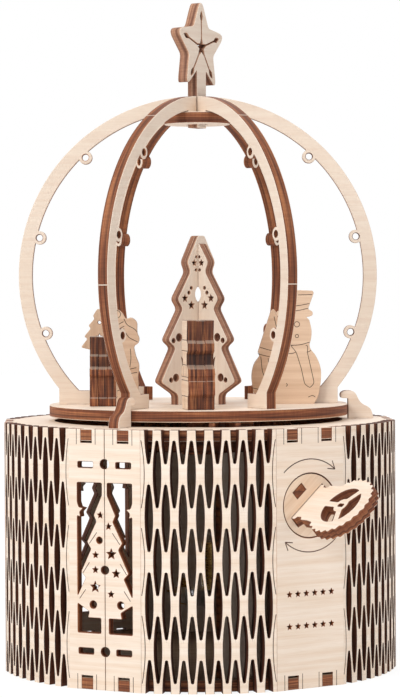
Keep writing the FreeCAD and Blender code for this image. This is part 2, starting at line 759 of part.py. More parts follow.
def board(name, azimuth, half_width, holes):
    """An upright board inside the drum: it stands in the base plate and carries the
    bearing plate on its upper edge."""
    low = cell("ply")
    half_tenon = cell("board_tenon") / 2
    spread = cell("board_tenon_spread")
    outline = [(-half_width, low)]
    for side in (-spread, spread):
        outline += [(side - half_tenon, low), (side - half_tenon, 0)]
        outline += [(side + half_tenon, 0), (side + half_tenon, low)]
    outline += [(half_width, low), (half_width, BOARD_TOP), (-half_width, BOARD_TOP)]
    plate(name, outline, holes, "ply", facing(azimuth, BOARD_FACE))


shaft_hole = bore("shaft_radius", 2 * cell("run_gap"), 0, KEY_HEIGHT)
board("movement_board", BOARD_AZIMUTHS[0], cell("movement_board_half"), [shaft_hole])
board("panel_board_rear", BOARD_AZIMUTHS[1], cell("rear_board_half"), [])
board("panel_board_left", BOARD_AZIMUTHS[2], cell("board_half"), [])


# ------------------------------------------------------------------ keepers


def keeper(name, azimuth):
    """A hooked bracket on the deck whose nose reaches over the turntable's rim."""
    rim_top = cell("turntable_rise")
    nose_low = rim_top + cell("keeper_lift")
    nose_high = nose_low + cell("keeper_head")
    nose = -cell("keeper_nose")
    length = cell("keeper_length")
    tenon_start = KEEPER_TENON_START
    tenon_end = tenon_start + cell("keeper_tenon")
    waist = length * 0.45
    step = rim_top * 0.95
    outline = [
        (0, 0),
        (tenon_start, 0),
        (tenon_start, -cell("ply")),
        (tenon_end, -cell("ply")),
        (tenon_end, 0),
        (length, 0),
        ((length * 0.95, step * 0.45), (length * 0.82, step * 0.78)),
        (length * 0.62, step),
        ((waist, step * 1.12), (waist * 0.86, nose_low)),
        ((waist * 0.66, nose_high * 0.9), (waist * 0.3, nose_high)),
        (nose * 0.45, nose_high),
        ((nose, (nose_low + nose_high) / 2), (nose * 0.7, nose_low)),
        (0, nose_low),
    ]
    plate(name, chorded(outline), [], "ply",
          radial(azimuth, cell("ply"), radius=KEEPER_INNER, height=TOP))


keeper("keeper_front", seams[0])
keeper("keeper_right", seams[1])
keeper("keeper_rear", seams[2])


# ------------------------------------------------------------ turntable axle

GEAR_TOP = TABLE_TOP - cell("ply")
GEAR_LOW = GEAR_TOP - cell("ply")

gear_outline = tooth_outline(count("gear_teeth"), MODULE, cell("backlash"))
AXLE_HOLE = bore("axle_radius")
mesh_azimuth = math.degrees(math.atan2(arbor_y, arbor_x))
gear_pitch = 360 / count("gear_teeth")
plate("drive_gear", gear_outline, [AXLE_HOLE], "ply", level(GEAR_LOW, mesh_azimuth))

pinion_pitch = 360 / count("pinion_teeth")
pinion_outline = tooth_outline(count("pinion_teeth"), MODULE, cell("backlash"))
pinion_low = GEAR_TOP - cell("run_gap") - cell("pinion_thick")
pinion_place = FreeCAD.Placement(
    FreeCAD.Vector(arbor_x, arbor_y, pinion_low),
    FreeCAD.Rotation(UP, mesh_azimuth + 180 + pinion_pitch / 2))
plate("drive_pinion", pinion_outline, [bore("arbor_radius")],
      "pinion_thick", pinion_place)

AXLE_LOW = BOARD_TOP - cell("ply") - cell("run_gap")
axle_rod = rod("axle_rod", "Sizes.axle_radius",
               "Sizes.turntable_rise + 3 * Sizes.ply + Sizes.run_gap", level(AXLE_LOW))
head = block("axle_head_block", "Sizes.axle_head", "Sizes.axle_head", "Sizes.ply",
             level(AXLE_LOW))
head.setExpression(".Placement.Base.x", "-Sizes.axle_head / 2")
head.setExpression(".Placement.Base.y", "-Sizes.axle_head / 2")
finish_node(joined("turntable_axle", [axle_rod, head]), "turntable_axle")

washer_side = cell("washer_side")
plate("thrust_washer", rectangle(0, 0, washer_side, washer_side),
      [bore("axle_radius", cell("bore_gap"))], "washer_thick",
      level(BOARD_TOP + cell("ply")))


# ---------------------------------------------------------- pieces that stand

table_slots = []


def stand(name, outline, azimuth, radius, twist=0.0, thickness="ply", lift=0.0,
          listed=True):
    """An upright figure that is glued on the turntable's upper face.

    lift moves the plate sideways off its radial plane.
    """
    place = radial(turned(azimuth), cell(thickness), radius, TABLE_TOP, twist)
    across = place.Rotation.multVec(UP)
    place.Base = place.Base + across * lift
    return plate(name, chorded(outline), [], thickness, place, listed)


def slot_across(azimuth, middle, length):
    """The slot in the turntable for a tenon of an upright radial plate."""
    play = 2 * cell("fit_gap")
    corners = rectangle(0, middle, cell("ply") + play, length + play)
    return [plan_on_panel(azimuth, x, y) for x, y in corners]


# -------------------------------------------------------------------- arches

ARCH_IN = cell("arch_radius") - cell("arch_band")
FOOT_OUT = TABLE_RADIUS - cell("foot_inset")
FOOT_IN = FOOT_OUT - cell("foot_length")
ARCH_UP = cell("foot_shoulder") + math.sqrt(cell("arch_radius") ** 2 - FOOT_OUT ** 2)
HUB_TOP = TABLE_TOP + ARCH_UP + ARCH_IN - cell("hub_sink")


def arch_height(radius, reach):
    """The height over the turntable of an arch's upper half at a reach."""
    return ARCH_UP + math.sqrt(radius ** 2 - reach ** 2)


def arch_reach(radius, height):
    """The reach of an arch's lower half at a height over the turntable."""
    return math.sqrt(radius ** 2 - (height - ARCH_UP) ** 2)


def chords_between(radius, start, end, step):
    """The points of an arch's edge from one elevation to another, without the first."""
    chords = max(1, round(abs(end - start) / step))
    return [polar(radius, start + (end - start) * index / chords, 0, ARCH_UP)
            for index in range(1, chords + 1)]


def elevation_of(reach, height):
    """The elevation of a point of an arch, seen from the arch's centre."""
    return math.degrees(math.atan2(height - ARCH_UP, reach))


def eyelet_corners(elevation):
    """The two inner corners of an eyelet, the upper one first."""
    middle = polar(ARCH_IN - cell("eyelet_sink"), elevation, 0, ARCH_UP)
    reach = around(cell("eyelet_radius"), cell("eyelet_sides"))
    half = 180 / cell("eyelet_sides")
    return [polar(reach, elevation + 180 - half, *middle),
            polar(reach, elevation + 180 + half, *middle)]


def arch_outline():
    """Half a ring with its foot, its tenon, its flat for the hub and its eyelets."""
    outer = cell("arch_radius")
    end = cell("arch_end")
    tall = cell("foot_height")
    tenon_in = (FOOT_IN + FOOT_OUT - cell("foot_tenon")) / 2
    tenon_out = tenon_in + cell("foot_tenon")
    seat = HUB_TOP - TABLE_TOP
    low = -cell("ply")
    steps = [(FOOT_IN, 0), (tenon_in, 0), (tenon_in, low), (tenon_out, low),
             (tenon_out, 0), (FOOT_OUT, 0), (FOOT_OUT, cell("foot_shoulder"))]
    start = elevation_of(FOOT_OUT, cell("foot_shoulder"))
    finish = elevation_of(end, arch_height(outer, end))
    step = (finish - start) / cell("arch_chords")
    steps += chords_between(outer, start, finish, step)
    reach = cell("hub_seat")
    steps += [(end, seat), (reach, seat), (reach, arch_height(ARCH_IN, reach))]
    spread = math.degrees(cell("eyelet_radius") / ARCH_IN)
    above = elevation_of(reach, arch_height(ARCH_IN, reach))
    for name in EYELETS:
        steps += chords_between(ARCH_IN, above, cell(name) + spread, step)
        steps += eyelet_corners(cell(name))
        above = cell(name) - spread
        steps.append(polar(ARCH_IN, above, 0, ARCH_UP))
    reach = arch_reach(ARCH_IN, tall)
    steps += chords_between(ARCH_IN, above, elevation_of(reach, tall), step)
    steps.append((FOOT_IN, tall))
    return steps


def eyelet_holes():
    """The holes in the eyelets of one arch."""
    holes = []
    for name in EYELETS:
        x, y = polar(ARCH_IN - cell("eyelet_sink"), cell(name), 0, ARCH_UP)
        holes.append(round_outline(cell("eyelet_hole"), count("eyelet_sides"), x, y))
    return holes


EYELETS = ("eyelet_high", "eyelet_middle", "eyelet_low")
arch_step = 360 / count("arch_count")
foot_middle = (FOOT_IN + FOOT_OUT) / 2
for index in range(count("arch_count")):
    azimuth = turned(cell("arch_azimuth") + arch_step * index)
    plate(f"arch_{index + 1}", arch_outline(), eyelet_holes(), "ply",
          radial(azimuth, cell("ply"), height=TABLE_TOP))
    table_slots.append(slot_across(azimuth, foot_middle, cell("foot_tenon")))

plate("hub_disc", round_outline(cell("hub_radius"), count("small_chords")),
      [round_outline(cell("hub_hole"), count("small_chords") // 2)], "ply",
      level(HUB_TOP - cell("ply")))


# ---------------------------------------------------------------------- star


def star_steps():
    """The star with blunt tips, standing on a stem that ends on the hub disc."""
    centre = cell("star_rise")
    tip = cell("star_tip")
    valley = cell("star_valley")
    nose = cell("star_nose")
    half_stem = cell("star_stem") / 2
    steps = [(-half_stem, 0), (half_stem, 0)]
    stem_top = centre - math.sqrt(valley ** 2 - half_stem ** 2)
    steps.append((half_stem, stem_top))
    for index in range(5):
        angle = -54 + 72 * index
        left = polar(valley, angle - 36, 0, centre)
        right = polar(valley, angle + 36, 0, centre)
        point = polar(tip, angle, 0, centre)
        if index == 0:
            left = (half_stem, stem_top)
        if index == 4:
            right = (-half_stem, stem_top)
        steps.append(toward(point, left, nose))
        steps.append(toward(point, right, nose))
        steps.append(right)
    return steps


def toward(start, end, distance):
    """The point at a distance from start on the way to end."""
    length = math.hypot(end[0] - start[0], end[1] - start[1])
    share = distance / length
    return (start[0] + (end[0] - start[0]) * share, start[1] + (end[1] - start[1]) * share)


def star_holes():
    """The small star and the five drops that are cut through the star."""
    centre = cell("star_rise")
    reach = cell("star_hole")
    holes = [star_outline(reach, reach / 2, 0, centre)]
    half_long = cell("drop_length") / 2
    half_wide = cell("drop_width") / 2
    for index in range(5):
        angle = 90 + 72 * index
        inner = polar(cell("drop_centre") - half_long, angle, 0, centre)
        outer = polar(cell("drop_centre") + half_long, angle, 0, centre)
        middle = polar(cell("drop_centre"), angle, 0, centre)
        left = polar(half_wide, angle + 90, *middle)
        right = polar(half_wide, angle - 90, *middle)
        holes.append([inner, right, outer, left])
    return holes


plate("star", star_steps(), star_holes(), "ply",
      radial(turned(cell("arch_azimuth")), cell("ply"), height=HUB_TOP))


# ---------------------------------------------------------------------- trees

# One side of a fir from the trunk up: (share of its half width, share of its height).
FIR_TIERS = [(1.0, 0.138), (0.645, 0.336), (0.823, 0.381), (0.463, 0.565), (0.591, 0.623),
             (0.263, 0.784), (0.345, 0.842)]


def fir_steps(half_width, height, trunk, trunk_height, tip, stem=0.0):
    """One side of a fir, from the trunk's foot to the top; stem lifts its crown."""
    crown = height - stem
    steps = [(trunk, 0), (trunk, stem + trunk_height)]
    steps += [(half_width * x, stem + crown * y) for x, y in FIR_TIERS]
    steps.append((tip, height))
    return steps


def big_tree(name, azimuth, slot_up):
    """One of the two crossed plates; slot_up is true for the one slotted from below."""
    height = cell("tree_height")
    half_slot = cell("ply") / 2 + cell("fit_gap")
    trunk = cell("tree_trunk")
    lap = cell("tree_lap")
    tenon = cell("tree_tenon")
    eye = cell("tree_eye")
    eye_height = cell("tree_eye_height")
    low = -cell("ply")
    steps = fir_steps(cell("tree_half"), height, trunk, cell("trunk_height"),
                      cell("tree_tip"))
    side = [(trunk - tenon, 0), (trunk - tenon, low), (trunk, low)] + steps
    holes = []
    if slot_up:
        side = [(half_slot, lap), (half_slot, 0)] + side
        holes.append(round_outline(eye, count("small_chords") // 2, 0, eye_height))
    else:
        opening = math.degrees(math.acos(half_slot / eye))
        chords = 3
        side = side[:-1] + [(half_slot, cell("slot_top"))]
        side += [polar(eye, opening * (1 - 2 * index / chords), 0, eye_height)
                 for index in range(chords + 1)]
        side.append((half_slot, lap))
    plate(name, mirrored(side), holes, "ply",
          radial(turned(azimuth), cell("ply"), height=TABLE_TOP))
    for sign in (-1, 1):
        table_slots.append(slot_across(turned(azimuth), sign * (trunk - tenon / 2), tenon))


big_tree("tree_plate_left", -45.0, True)
big_tree("tree_plate_right", 45.0, False)


# -------------------------------------------------------------------- figures


def snowman_steps():
    """A snowman from the foot up: body, scarf, head, brim and tall hat."""
    height = cell("snowman_height")
    body = cell("snowman_body")
    head = cell("snowman_head")
    lean = head * 0.3
    neck = height * 0.5
    brim = height * 0.785
    return [
        (-body * 0.72, 0),
        (body * 0.72, 0),
        ((body, body * 1.15), (head * 0.92, neck * 0.93)),
        (head, neck),
        (head * 0.86, neck * 1.08),
        ((head, height * 0.66), (head * 0.9, brim)),
        (head * 1.05, brim + 0.6),
        (head * 1.05, brim + 1.6),
        (head * 0.8, brim + 1.9),
        (head * 0.8 + lean, height * 0.97),
        (lean - head * 0.75, height),
        (-head * 0.75, brim + 1.9),
        (-head * 1.05, brim + 1.6),
        (-head * 1.05, brim + 0.6),
        (-head * 0.8, brim),
        ((-head, height * 0.66), (-head * 0.86, neck * 1.08)),
        (-head, neck),
        (-head * 0.92, neck * 0.93),
        ((-body, body * 1.15), (-body * 0.72, 0)),
    ]


def santa_steps():
    """A Santa with boots and coat, a sack over one shoulder, and a round cap."""
    wide = cell("santa_half")
    height = cell("santa_height")
    right = [(0.83, 0.0), (0.8, 0.09), (0.9, 0.28), (0.92, 0.4), (0.76, 0.48), (0.64, 0.6)]
    sack = [(0.9, 0.64), (0.93, 0.69), (0.81, 0.74), (0.81, 0.87), (0.5, 0.92), (0.22, 0.89)]
    cap = [(0.08, 0.95), (-0.12, 1.0), (-0.34, 1.0), (-0.52, 0.96), (-0.6, 0.87)]
    left = [(-0.66, 0.77), (-0.92, 0.65), (-1.0, 0.5), (-0.94, 0.36), (-0.97, 0.2),
            (-0.84, 0.1), (-0.89, 0.0)]
    return [(wide * x, height * y) for x, y in right + sack + cap + left]


def gnome_side():
    """One side of a gnome: a round coat under a tall pointed cap."""
    wide = cell("gnome_half")
    height = cell("gnome_height")
    shares = [(0.7, 0.0), (0.92, 0.12), (1.0, 0.26), (0.88, 0.4), (0.6, 0.48),
              (0.7, 0.52), (0.12, 1.0)]
    return [(wide * x, height * y) for x, y in shares]


def soldier_side():
    """One side of a toy soldier: boots, coat, belt, neck, face and tall cap."""
    wide = cell("soldier_half")
    height = cell("soldier_height")
    shares = [(0.8, 0.0), (0.8, 0.15), (1.0, 0.17), (0.92, 0.46), (0.55, 0.5),
              (0.55, 0.62), (0.85, 0.66), (0.85, 0.74), (0.6, 0.78), (0.75, 1.0)]
    return [(wide * x, height * y) for x, y in shares]


def gift_side():
    """One side of three presents, one on the other, with a bow on top."""
    wide = cell("gift_half")
    height = cell("gift_height")
    shares = [(1.0, 0.0), (1.0, 0.12), (0.86, 0.12), (0.86, 0.42), (0.98, 0.44),
              (0.98, 0.54), (0.6, 0.56), (0.66, 0.72), (0.44, 0.74), (0.5, 1.0)]
    return [(wide * x, height * y) for x, y in shares]


def layered(name, side, azimuth, radius, twist):
    """A figure of three glued layers: a core between two faces."""
    outline = mirrored(side)
    stand(name + "_core", outline, azimuth, radius, twist, "layer")
    layer = cell("layer")
    faces = [stand(f"{name}_face_{mark}", outline, azimuth, radius, twist, "layer",
                   sign * layer, listed=False)
             for sign, mark in ((-1, "a"), (1, "b"))]
    group(name + "_faces", faces)


sapling = fir_steps(cell("sapling_half"), cell("sapling_height"), cell("sapling_trunk"),
                    cell("trunk_height") / 3, cell("tree_tip") / 2, cell("sapling_stem"))
stand("snowman", snowman_steps(), 90.0, TABLE_RADIUS - cell("snowman_inset"),
      lift=cell("ply"))
stand("santa", santa_steps(), cell("santa_azimuth"), TABLE_RADIUS - cell("santa_inset"),
      cell("santa_twist"))
stand("gnome", mirrored(gnome_side()), cell("gnome_azimuth"),
      TABLE_RADIUS - cell("gnome_inset"), cell("gnome_twist"))
layered("toy_soldier", soldier_side(), 0.0, TABLE_RADIUS - cell("soldier_inset"),
        cell("soldier_twist"))
layered("gift_stack", gift_side(), cell("gift_azimuth"), TABLE_RADIUS - cell("gift_inset"),
        -cell("gift_azimuth"))
stand("small_tree", mirrored(sapling), cell("sapling_azimuth"),
      TABLE_RADIUS - cell("sapling_inset"), cell("sapling_twist"), "layer")

plate("turntable_disc", round_outline(TABLE_RADIUS, count("rim_chords")),
      [AXLE_HOLE] + table_slots, "ply", level(GEAR_TOP))


# ---------------------------------------------------------------- winding key

DISC_IN = PANEL_OUT - cell("ply")
COLLAR_IN = DISC_IN - cell("ply")


def key_frame(depth):
    """A plate across the winding shaft, turned with the key: X along the key's plate."""
    tilt = math.radians(cell("key_tilt"))
    side = sideways(KEY_AZIMUTH)
    x_axis = side * math.cos(tilt) + UP * math.sin(tilt)
    y_axis = outward(KEY_AZIMUTH).cross(x_axis)
    return frame(on_drum(KEY_AZIMUTH, 0, depth, KEY_HEIGHT), x_axis, y_axis)


def key_plate_frame():
    """The key's own plate: X outward from the panel's face, Y along its width."""
    tilt = math.radians(cell("key_tilt"))
    y_axis = sideways(KEY_AZIMUTH) * math.cos(tilt) + UP * math.sin(tilt)
    x_axis = outward(KEY_AZIMUTH)
    across = x_axis.cross(y_axis)
    middle = on_drum(KEY_AZIMUTH, 0, PANEL_OUT, KEY_HEIGHT)
    return frame(middle - across * (cell("ply") / 2), x_axis, y_axis)


def bow_steps():
    """The neck with its fork for the shaft, and the toothed bow, seen flat."""
    half = cell("key_neck_half")
    neck = cell("key_neck")
    centre = cell("key_reach")
    tip = cell("key_bow")
    root = tip - cell("key_tooth")
    tooth = 360 / count("key_teeth")
    fork = cell("shaft_radius") + cell("fit_gap")
    back = -2 * cell("ply")
    neck_angle = 180 - math.degrees(math.asin(half / root))
    teeth = int(2 * neck_angle / tooth)
    start = -teeth * tooth / 2
    steps = [(back + cell("ply"), -fork), (back, -fork), (back, -half), (neck, -half)]
    for index in range(teeth):
        angle = start + tooth * index
        steps.append(polar(root, angle, centre))
        steps.append(polar(tip, angle + tooth * 0.3, centre))
        steps.append(polar(tip, angle + tooth * 0.7, centre))
    steps.append(polar(root, -start, centre))
    steps += [(neck, half), (back, half), (back, fork), (back + cell("ply"), fork)]
    return steps


def bow_windows():
    """The three windows round the bow's hub, and the slot in the hub."""
    centre = cell("key_reach")
    inner = cell("key_window_inner")
    outer = cell("key_window_outer")
    half_spoke = cell("key_spoke") / 2
    half_turn = 180 / count("key_windows")
    far = half_turn - math.degrees(math.asin(half_spoke / outer))
    near = half_turn - math.degrees(math.asin(half_spoke / inner))
    windows = []
    for index in range(count("key_windows")):
        middle = 2 * half_turn * index
        windows.append(chorded([
            polar(outer, middle - far, centre),
            (polar(outer, middle, centre), polar(outer, middle + far, centre)),
            polar(inner, middle + near, centre),
            polar(inner, middle, centre),
            polar(inner, middle - near, centre),
        ]))
    windows.append(rectangle(centre, 0, cell("key_slot_long"), cell("key_slot_wide")))
    return windows


plate("key_bow", bow_steps(), bow_windows(), "ply", key_plate_frame())

play = 2 * cell("fit_gap")
neck_slot = rectangle(0, 0, 2 * cell("key_neck_half") + play, cell("ply") + play)
peg_slots = [rectangle(0, side * cell("key_peg_spread"), cell("key_peg_length") + play,
                       cell("key_peg_width") + play) for side in (-1, 1)]
plate("key_disc", round_outline(cell("key_disc"), count("small_chords")),
      [neck_slot] + peg_slots, "ply", key_frame(DISC_IN))

collar = [plate("key_collar_ring", round_outline(cell("key_collar"), count("collar_sides")),
                [neck_slot], "ply", key_frame(COLLAR_IN), listed=False)]
for index, side in enumerate((-1, 1), start=1):
    outline = rectangle(0, side * cell("key_peg_spread"), cell("key_peg_length"),
                        cell("key_peg_width"))
    collar.append(plate(f"key_peg_{index}", outline, [], "ply", key_frame(DISC_IN),
                        listed=False))
finish_node(joined("key_collar", collar), "key_collar")


# ------------------------------------------------------------------- movement

HOUSING_IN = BED_IN - cell("spring_depth")
CYLINDER_LOW = KEY_HEIGHT - cell("cylinder_under")
CYLINDER_HIGH = CYLINDER_LOW + cell("cylinder_length")
WHEEL_LOW = CYLINDER_LOW - cell("wheel_thick")
CHEEKS = (WHEEL_LOW - cell("run_gap") - cell("cheek_thick"), CYLINDER_HIGH + cell("run_gap"))
COMB_TIP = CYLINDER_SIDE + cell("cylinder_radius") + cell("comb_gap")
COMB_BACK = COMB_TIP + cell("comb_tooth")
COMB_IN = CYLINDER_DEPTH - cell("comb_thick") / 2
SHAFT_BORE = bore("shaft_radius", cell("bore_gap"), 0, KEY_HEIGHT)


def behind(side, depth, height):
    """A placement in the drum: X sideways, Y up, Z outward from a point."""
    return frame(on_drum(KEY_AZIMUTH, side, depth, height), sideways(KEY_AZIMUTH), UP)


shaft_length = ("Sizes.wrap_thick + Sizes.board_inset - Sizes.ply + Sizes.bed_thick"
                " + Sizes.spring_depth")
finish_node(rod("winding_shaft", "Sizes.shaft_radius", shaft_length,
                behind(0, HOUSING_IN, KEY_HEIGHT)), "winding_shaft")


def movement_bedplate():
    """The cast bedplate with two bearing cheeks for the cylinder and a comb seat."""
    left = cell("bed_left")
    right = cell("bed_right")
    low = KEY_HEIGHT - cell("bed_under")
    high = KEY_HEIGHT + cell("bed_over")
    corners = [(left, low), (right, low), (right, high), (left, high)]
    parts = [plate("bed", corners, [SHAFT_BORE], "bed_thick", facing(KEY_AZIMUTH, BED_IN),
                   listed=False)]
    half = cell("cheek_half")
    cheek_in = CYLINDER_DEPTH - cell("cheek_over")
    for index, height in enumerate(CHEEKS, start=1):
        parts.append(block(f"cheek_{index}", "2 * Sizes.cheek_half", "Sizes.cheek_thick",
                           "Sizes.cylinder_set + Sizes.cheek_over",
                           behind(CYLINDER_SIDE - half, cheek_in, height)))
    seat_in = CYLINDER_DEPTH + cell("comb_thick") / 2
    parts.append(block("comb_seat", "Sizes.comb_back", "Sizes.cylinder_length",
                       "Sizes.cylinder_set - Sizes.comb_thick / 2",
                       behind(COMB_BACK, seat_in, CYLINDER_LOW)))
    bearing = prism("cylinder_bore", "Sizes.bore_sides",
                    "(Sizes.arbor_radius + Sizes.bore_gap) / cos(180 deg / Sizes.bore_sides)",
                    "Sizes.drum_height", on_arbor(0))
    finish_node(cut("movement_bedplate", joined("bed_solid", parts), bearing),
                "movement_bedplate")


def on_arbor(height):
    """A placement on the cylinder's arbor at a height."""
    foot = on_drum(KEY_AZIMUTH, CYLINDER_SIDE, CYLINDER_DEPTH, height)
    return FreeCAD.Placement(foot, FreeCAD.Rotation())


movement_bedplate()
housing = round_outline(cell("spring_radius"), count("small_chords"), 0, KEY_HEIGHT)
plate("spring_housing", housing, [SHAFT_BORE], "spring_depth",
      facing(KEY_AZIMUTH, HOUSING_IN))


def comb_steps():
    """The comb seen flat: its back and a row of teeth, upright."""
    teeth = count("comb_teeth")
    pitch = cell("cylinder_length") / teeth
    reach = -cell("comb_tooth")
    back = cell("comb_back")
    gap = pitch * 0.4
    steps = [(0, 0), (back, 0), (back, cell("cylinder_length"))]
    for index in range(teeth):
        high = cell("cylinder_length") - index * pitch
        low = high - pitch + gap
        steps += [(0, high), (reach, high), (reach, low), (0, low)]
    return steps


plate("comb", comb_steps(), [], "comb_thick", behind(COMB_BACK, COMB_IN, CYLINDER_LOW))


# ------------------------------------------------------- cylinder and governor

arbor_length = ("Sizes.turntable_rise - Sizes.ply + Sizes.key_drop + Sizes.cylinder_under"
                " + Sizes.wheel_thick + Sizes.cheek_thick")
finish_node(rod("cylinder_arbor", "Sizes.arbor_radius", arbor_length, on_arbor(CHEEKS[0])),
            "cylinder_arbor")

plate("pinned_cylinder", round_outline(cell("cylinder_radius"), count("small_chords")),
      [bore("arbor_radius")], "cylinder_length", on_arbor(CYLINDER_LOW))

wheel_corners = []
for index in range(2 * count("wheel_teeth")):
    reach = cell("wheel_radius") - (index % 2) * cell("wheel_tooth")
    wheel_corners.append(polar(reach, 180 * index / count("wheel_teeth")))
plate("cylinder_wheel", wheel_corners, [bore("arbor_radius")],
      "wheel_thick", on_arbor(WHEEL_LOW))

WORM_SIDE = CYLINDER_SIDE - cell("wheel_radius") - cell("worm_gap") - cell("worm_radius")
WORM_HEIGHT = WHEEL_LOW + cell("wheel_thick") / 2
WORM_IN = CYLINDER_DEPTH - cell("worm_length") / 2
POST_OUT = WORM_IN + cell("worm_length") + cell("run_gap")
POST_IN = WORM_IN - cell("run_gap") - cell("post_thick")
SPINDLE_IN = POST_IN - cell("run_gap") - cell("fan_length")

worm = rod("worm", "Sizes.worm_radius", "Sizes.worm_length",
           behind(WORM_SIDE, WORM_IN, WORM_HEIGHT))
spindle = prism("spindle", "Sizes.eyelet_sides", "Sizes.spindle_radius",
                "Sizes.worm_length + Sizes.fan_length + 2 * Sizes.post_thick"
                " + 3 * Sizes.run_gap", behind(WORM_SIDE, SPINDLE_IN, WORM_HEIGHT))
finish_node(joined("governor_worm", [worm, spindle]), "governor_worm")


def fan_steps():
    """Four thin wings round a square hub, seen along the spindle."""
    thin = cell("fan_thick") / 2
    hub = cell("fan_hub")
    reach = cell("fan_radius")
    wing = [(reach, -thin), (reach, thin), (hub, thin), (hub, hub), (thin, hub)]
    steps = []
    for _ in range(4):
        steps += wing
        wing = [(-y, x) for x, y in wing]
    return steps


spindle_hole = round_outline(cell("spindle_radius"), count("eyelet_sides"))
plate("governor_fan", fan_steps(), [spindle_hole], "fan_length",
      behind(WORM_SIDE, SPINDLE_IN, WORM_HEIGHT))


def governor_bracket():
    """A bracket on the bedplate with two forked posts that carry the spindle."""
    left = WORM_SIDE - cell("post_half")
    low = WORM_HEIGHT - cell("post_under")
    post_tall = "Sizes.post_under + Sizes.post_over"
    parts = [block("bracket_foot", "2 * Sizes.post_half", "Sizes.bracket_thick",
                   "Sizes.cylinder_set + Sizes.worm_length / 2 + Sizes.run_gap"
                   " + Sizes.post_thick",
                   behind(left, POST_IN, low))]
    for index, depth in enumerate((POST_IN, POST_OUT), start=1):
        parts.append(block(f"bracket_post_{index}", "2 * Sizes.post_half", post_tall,
                           "Sizes.post_thick", behind(left, depth, low)))
    half_fork = cell("spindle_radius") + cell("bore_gap")
    fork = block("bracket_fork", "2 * (Sizes.spindle_radius + Sizes.bore_gap)",
                 "Sizes.drum_height", "Sizes.drum_radius",
                 behind(WORM_SIDE - half_fork, 0, WORM_HEIGHT - half_fork))
    finish_node(cut("governor_bracket", joined("bracket_solid", parts), fork),
                "governor_bracket")


governor_bracket()


# --------------------------------------------------------------------- export

doc.recompute()
os.makedirs("parts", exist_ok=True)
for item in doc.Objects:
    if "Invalid" in item.State or "Error" in item.State:
        raise RuntimeError(f"{item.Label}: {item.State}")
for node in nodes:
    shape = node.Shape
    if shape.isNull() or not shape.isValid():
        raise RuntimeError(f"{node.Label}: bad shape")
    shape.exportStep(f"parts/{node.Label}.step")
print(len(nodes), "nodes")
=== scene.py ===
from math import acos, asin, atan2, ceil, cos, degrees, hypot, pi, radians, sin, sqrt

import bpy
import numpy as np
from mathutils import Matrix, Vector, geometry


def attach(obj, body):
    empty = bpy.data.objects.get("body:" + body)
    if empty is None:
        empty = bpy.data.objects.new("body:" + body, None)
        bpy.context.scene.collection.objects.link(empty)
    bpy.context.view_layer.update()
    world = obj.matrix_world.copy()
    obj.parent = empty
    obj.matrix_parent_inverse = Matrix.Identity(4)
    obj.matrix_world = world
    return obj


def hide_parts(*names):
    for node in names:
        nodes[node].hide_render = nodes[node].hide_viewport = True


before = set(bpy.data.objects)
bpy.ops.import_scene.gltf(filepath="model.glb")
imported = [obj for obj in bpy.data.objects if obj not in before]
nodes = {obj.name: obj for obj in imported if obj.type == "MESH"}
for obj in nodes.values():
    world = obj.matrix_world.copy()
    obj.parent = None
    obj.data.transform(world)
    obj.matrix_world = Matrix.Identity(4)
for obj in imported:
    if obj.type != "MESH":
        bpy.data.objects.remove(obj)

# A clockwork carousel music box cut from plywood. An azimuth runs from the front to the
# right, in degrees. Lengths are in millimetres, which shape() turns into metres; only the
# room, the camera and the lamps are in metres from the start.

UP = np.array([0.0, 0.0, 1.0])
scene = bpy.context.scene


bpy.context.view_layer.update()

# The stock, with the slot that takes a tab of it.
PLY = 4.0
WRAP = 3.0
LAYER = 3.1
SLOT = PLY + 0.2
RIM = 0.18

# The drum and its three sheets.
TOP = 88.0
DRUM = 70.7
HALF_ANGLE = 11.2
PANEL_HALF = DRUM * sin(radians(HALF_ANGLE))
PANEL_OUT = DRUM * cos(radians(HALF_ANGLE))
PANEL_IN = PANEL_OUT - WRAP
SEAMS = (-30.0, 90.0, 210.0)
COLUMNS = 16
COLUMN_ANGLE = (60 - 2 * HALF_ANGLE) / COLUMNS
RIBBON_OUT = DRUM - 0.13
RIBBON_IN = PANEL_IN / cos(radians(0.35))
RIBBON_RIM = 0.12
PERIOD = TOP / 3
SLOT_HALF = (PERIOD - 6.7) / 2
SLOT_NOSE = 0.42
SLOT_SWELL = 0.96
NOTCH = 2.2
NOTCH_DEEP = 4.7
TAB_SPREAD = 7.05
RELIEF_SPREAD = 3.65
RELIEF_LONG = 5.2
DECK_HOLE = 51.5

# The turntable, its dome and its drive.
REST = -2.8
TABLE = 53.5
RISE = 5.7
TABLE_TOP = TOP + RISE
ARCH_OUT = 64.2
ARCH_IN = 59.4
ARCH_END = 3.6
HUB_SEAT = 9.4
TENON_IN = 40.75
TENON_OUT = 46.75
FOOT_IN = 37.5
FOOT_OUT = 50.0
FOOT_HIGH = 4.9
ARCH_UP = RISE + sqrt(ARCH_OUT ** 2 - FOOT_OUT ** 2)
HUB_TOP = TABLE_TOP + ARCH_UP + ARCH_IN - 1.3
GEAR_TEETH = 25
PINION_TEETH = 8
ADDENDUM = 0.85
PINION_CLEAR = 0.7

# The key and what stands behind its panel.
KEY_AZIMUTH = 30.0
KEY_HEIGHT = 61.8
KEY_NECK = 8.2
KEY_REACH = 19.4
ARBOR = (-16.0, PANEL_IN - 28.35)
BOARD_AZIMUTHS = (KEY_AZIMUTH, 180.0, 270.0)
BOARD_FACE = PANEL_IN - 12.35


# ---- directions


def outward(azimuth):
    """The level direction at an azimuth: its sine along X and minus its cosine along Y."""
    angle = radians(azimuth)
    return np.array([sin(angle), -cos(angle), 0.0])


def sideways(azimuth):
    """The level direction across the outward one, to the right seen from outside."""
    angle = radians(azimuth)
    return np.array([cos(angle), sin(angle), 0.0])


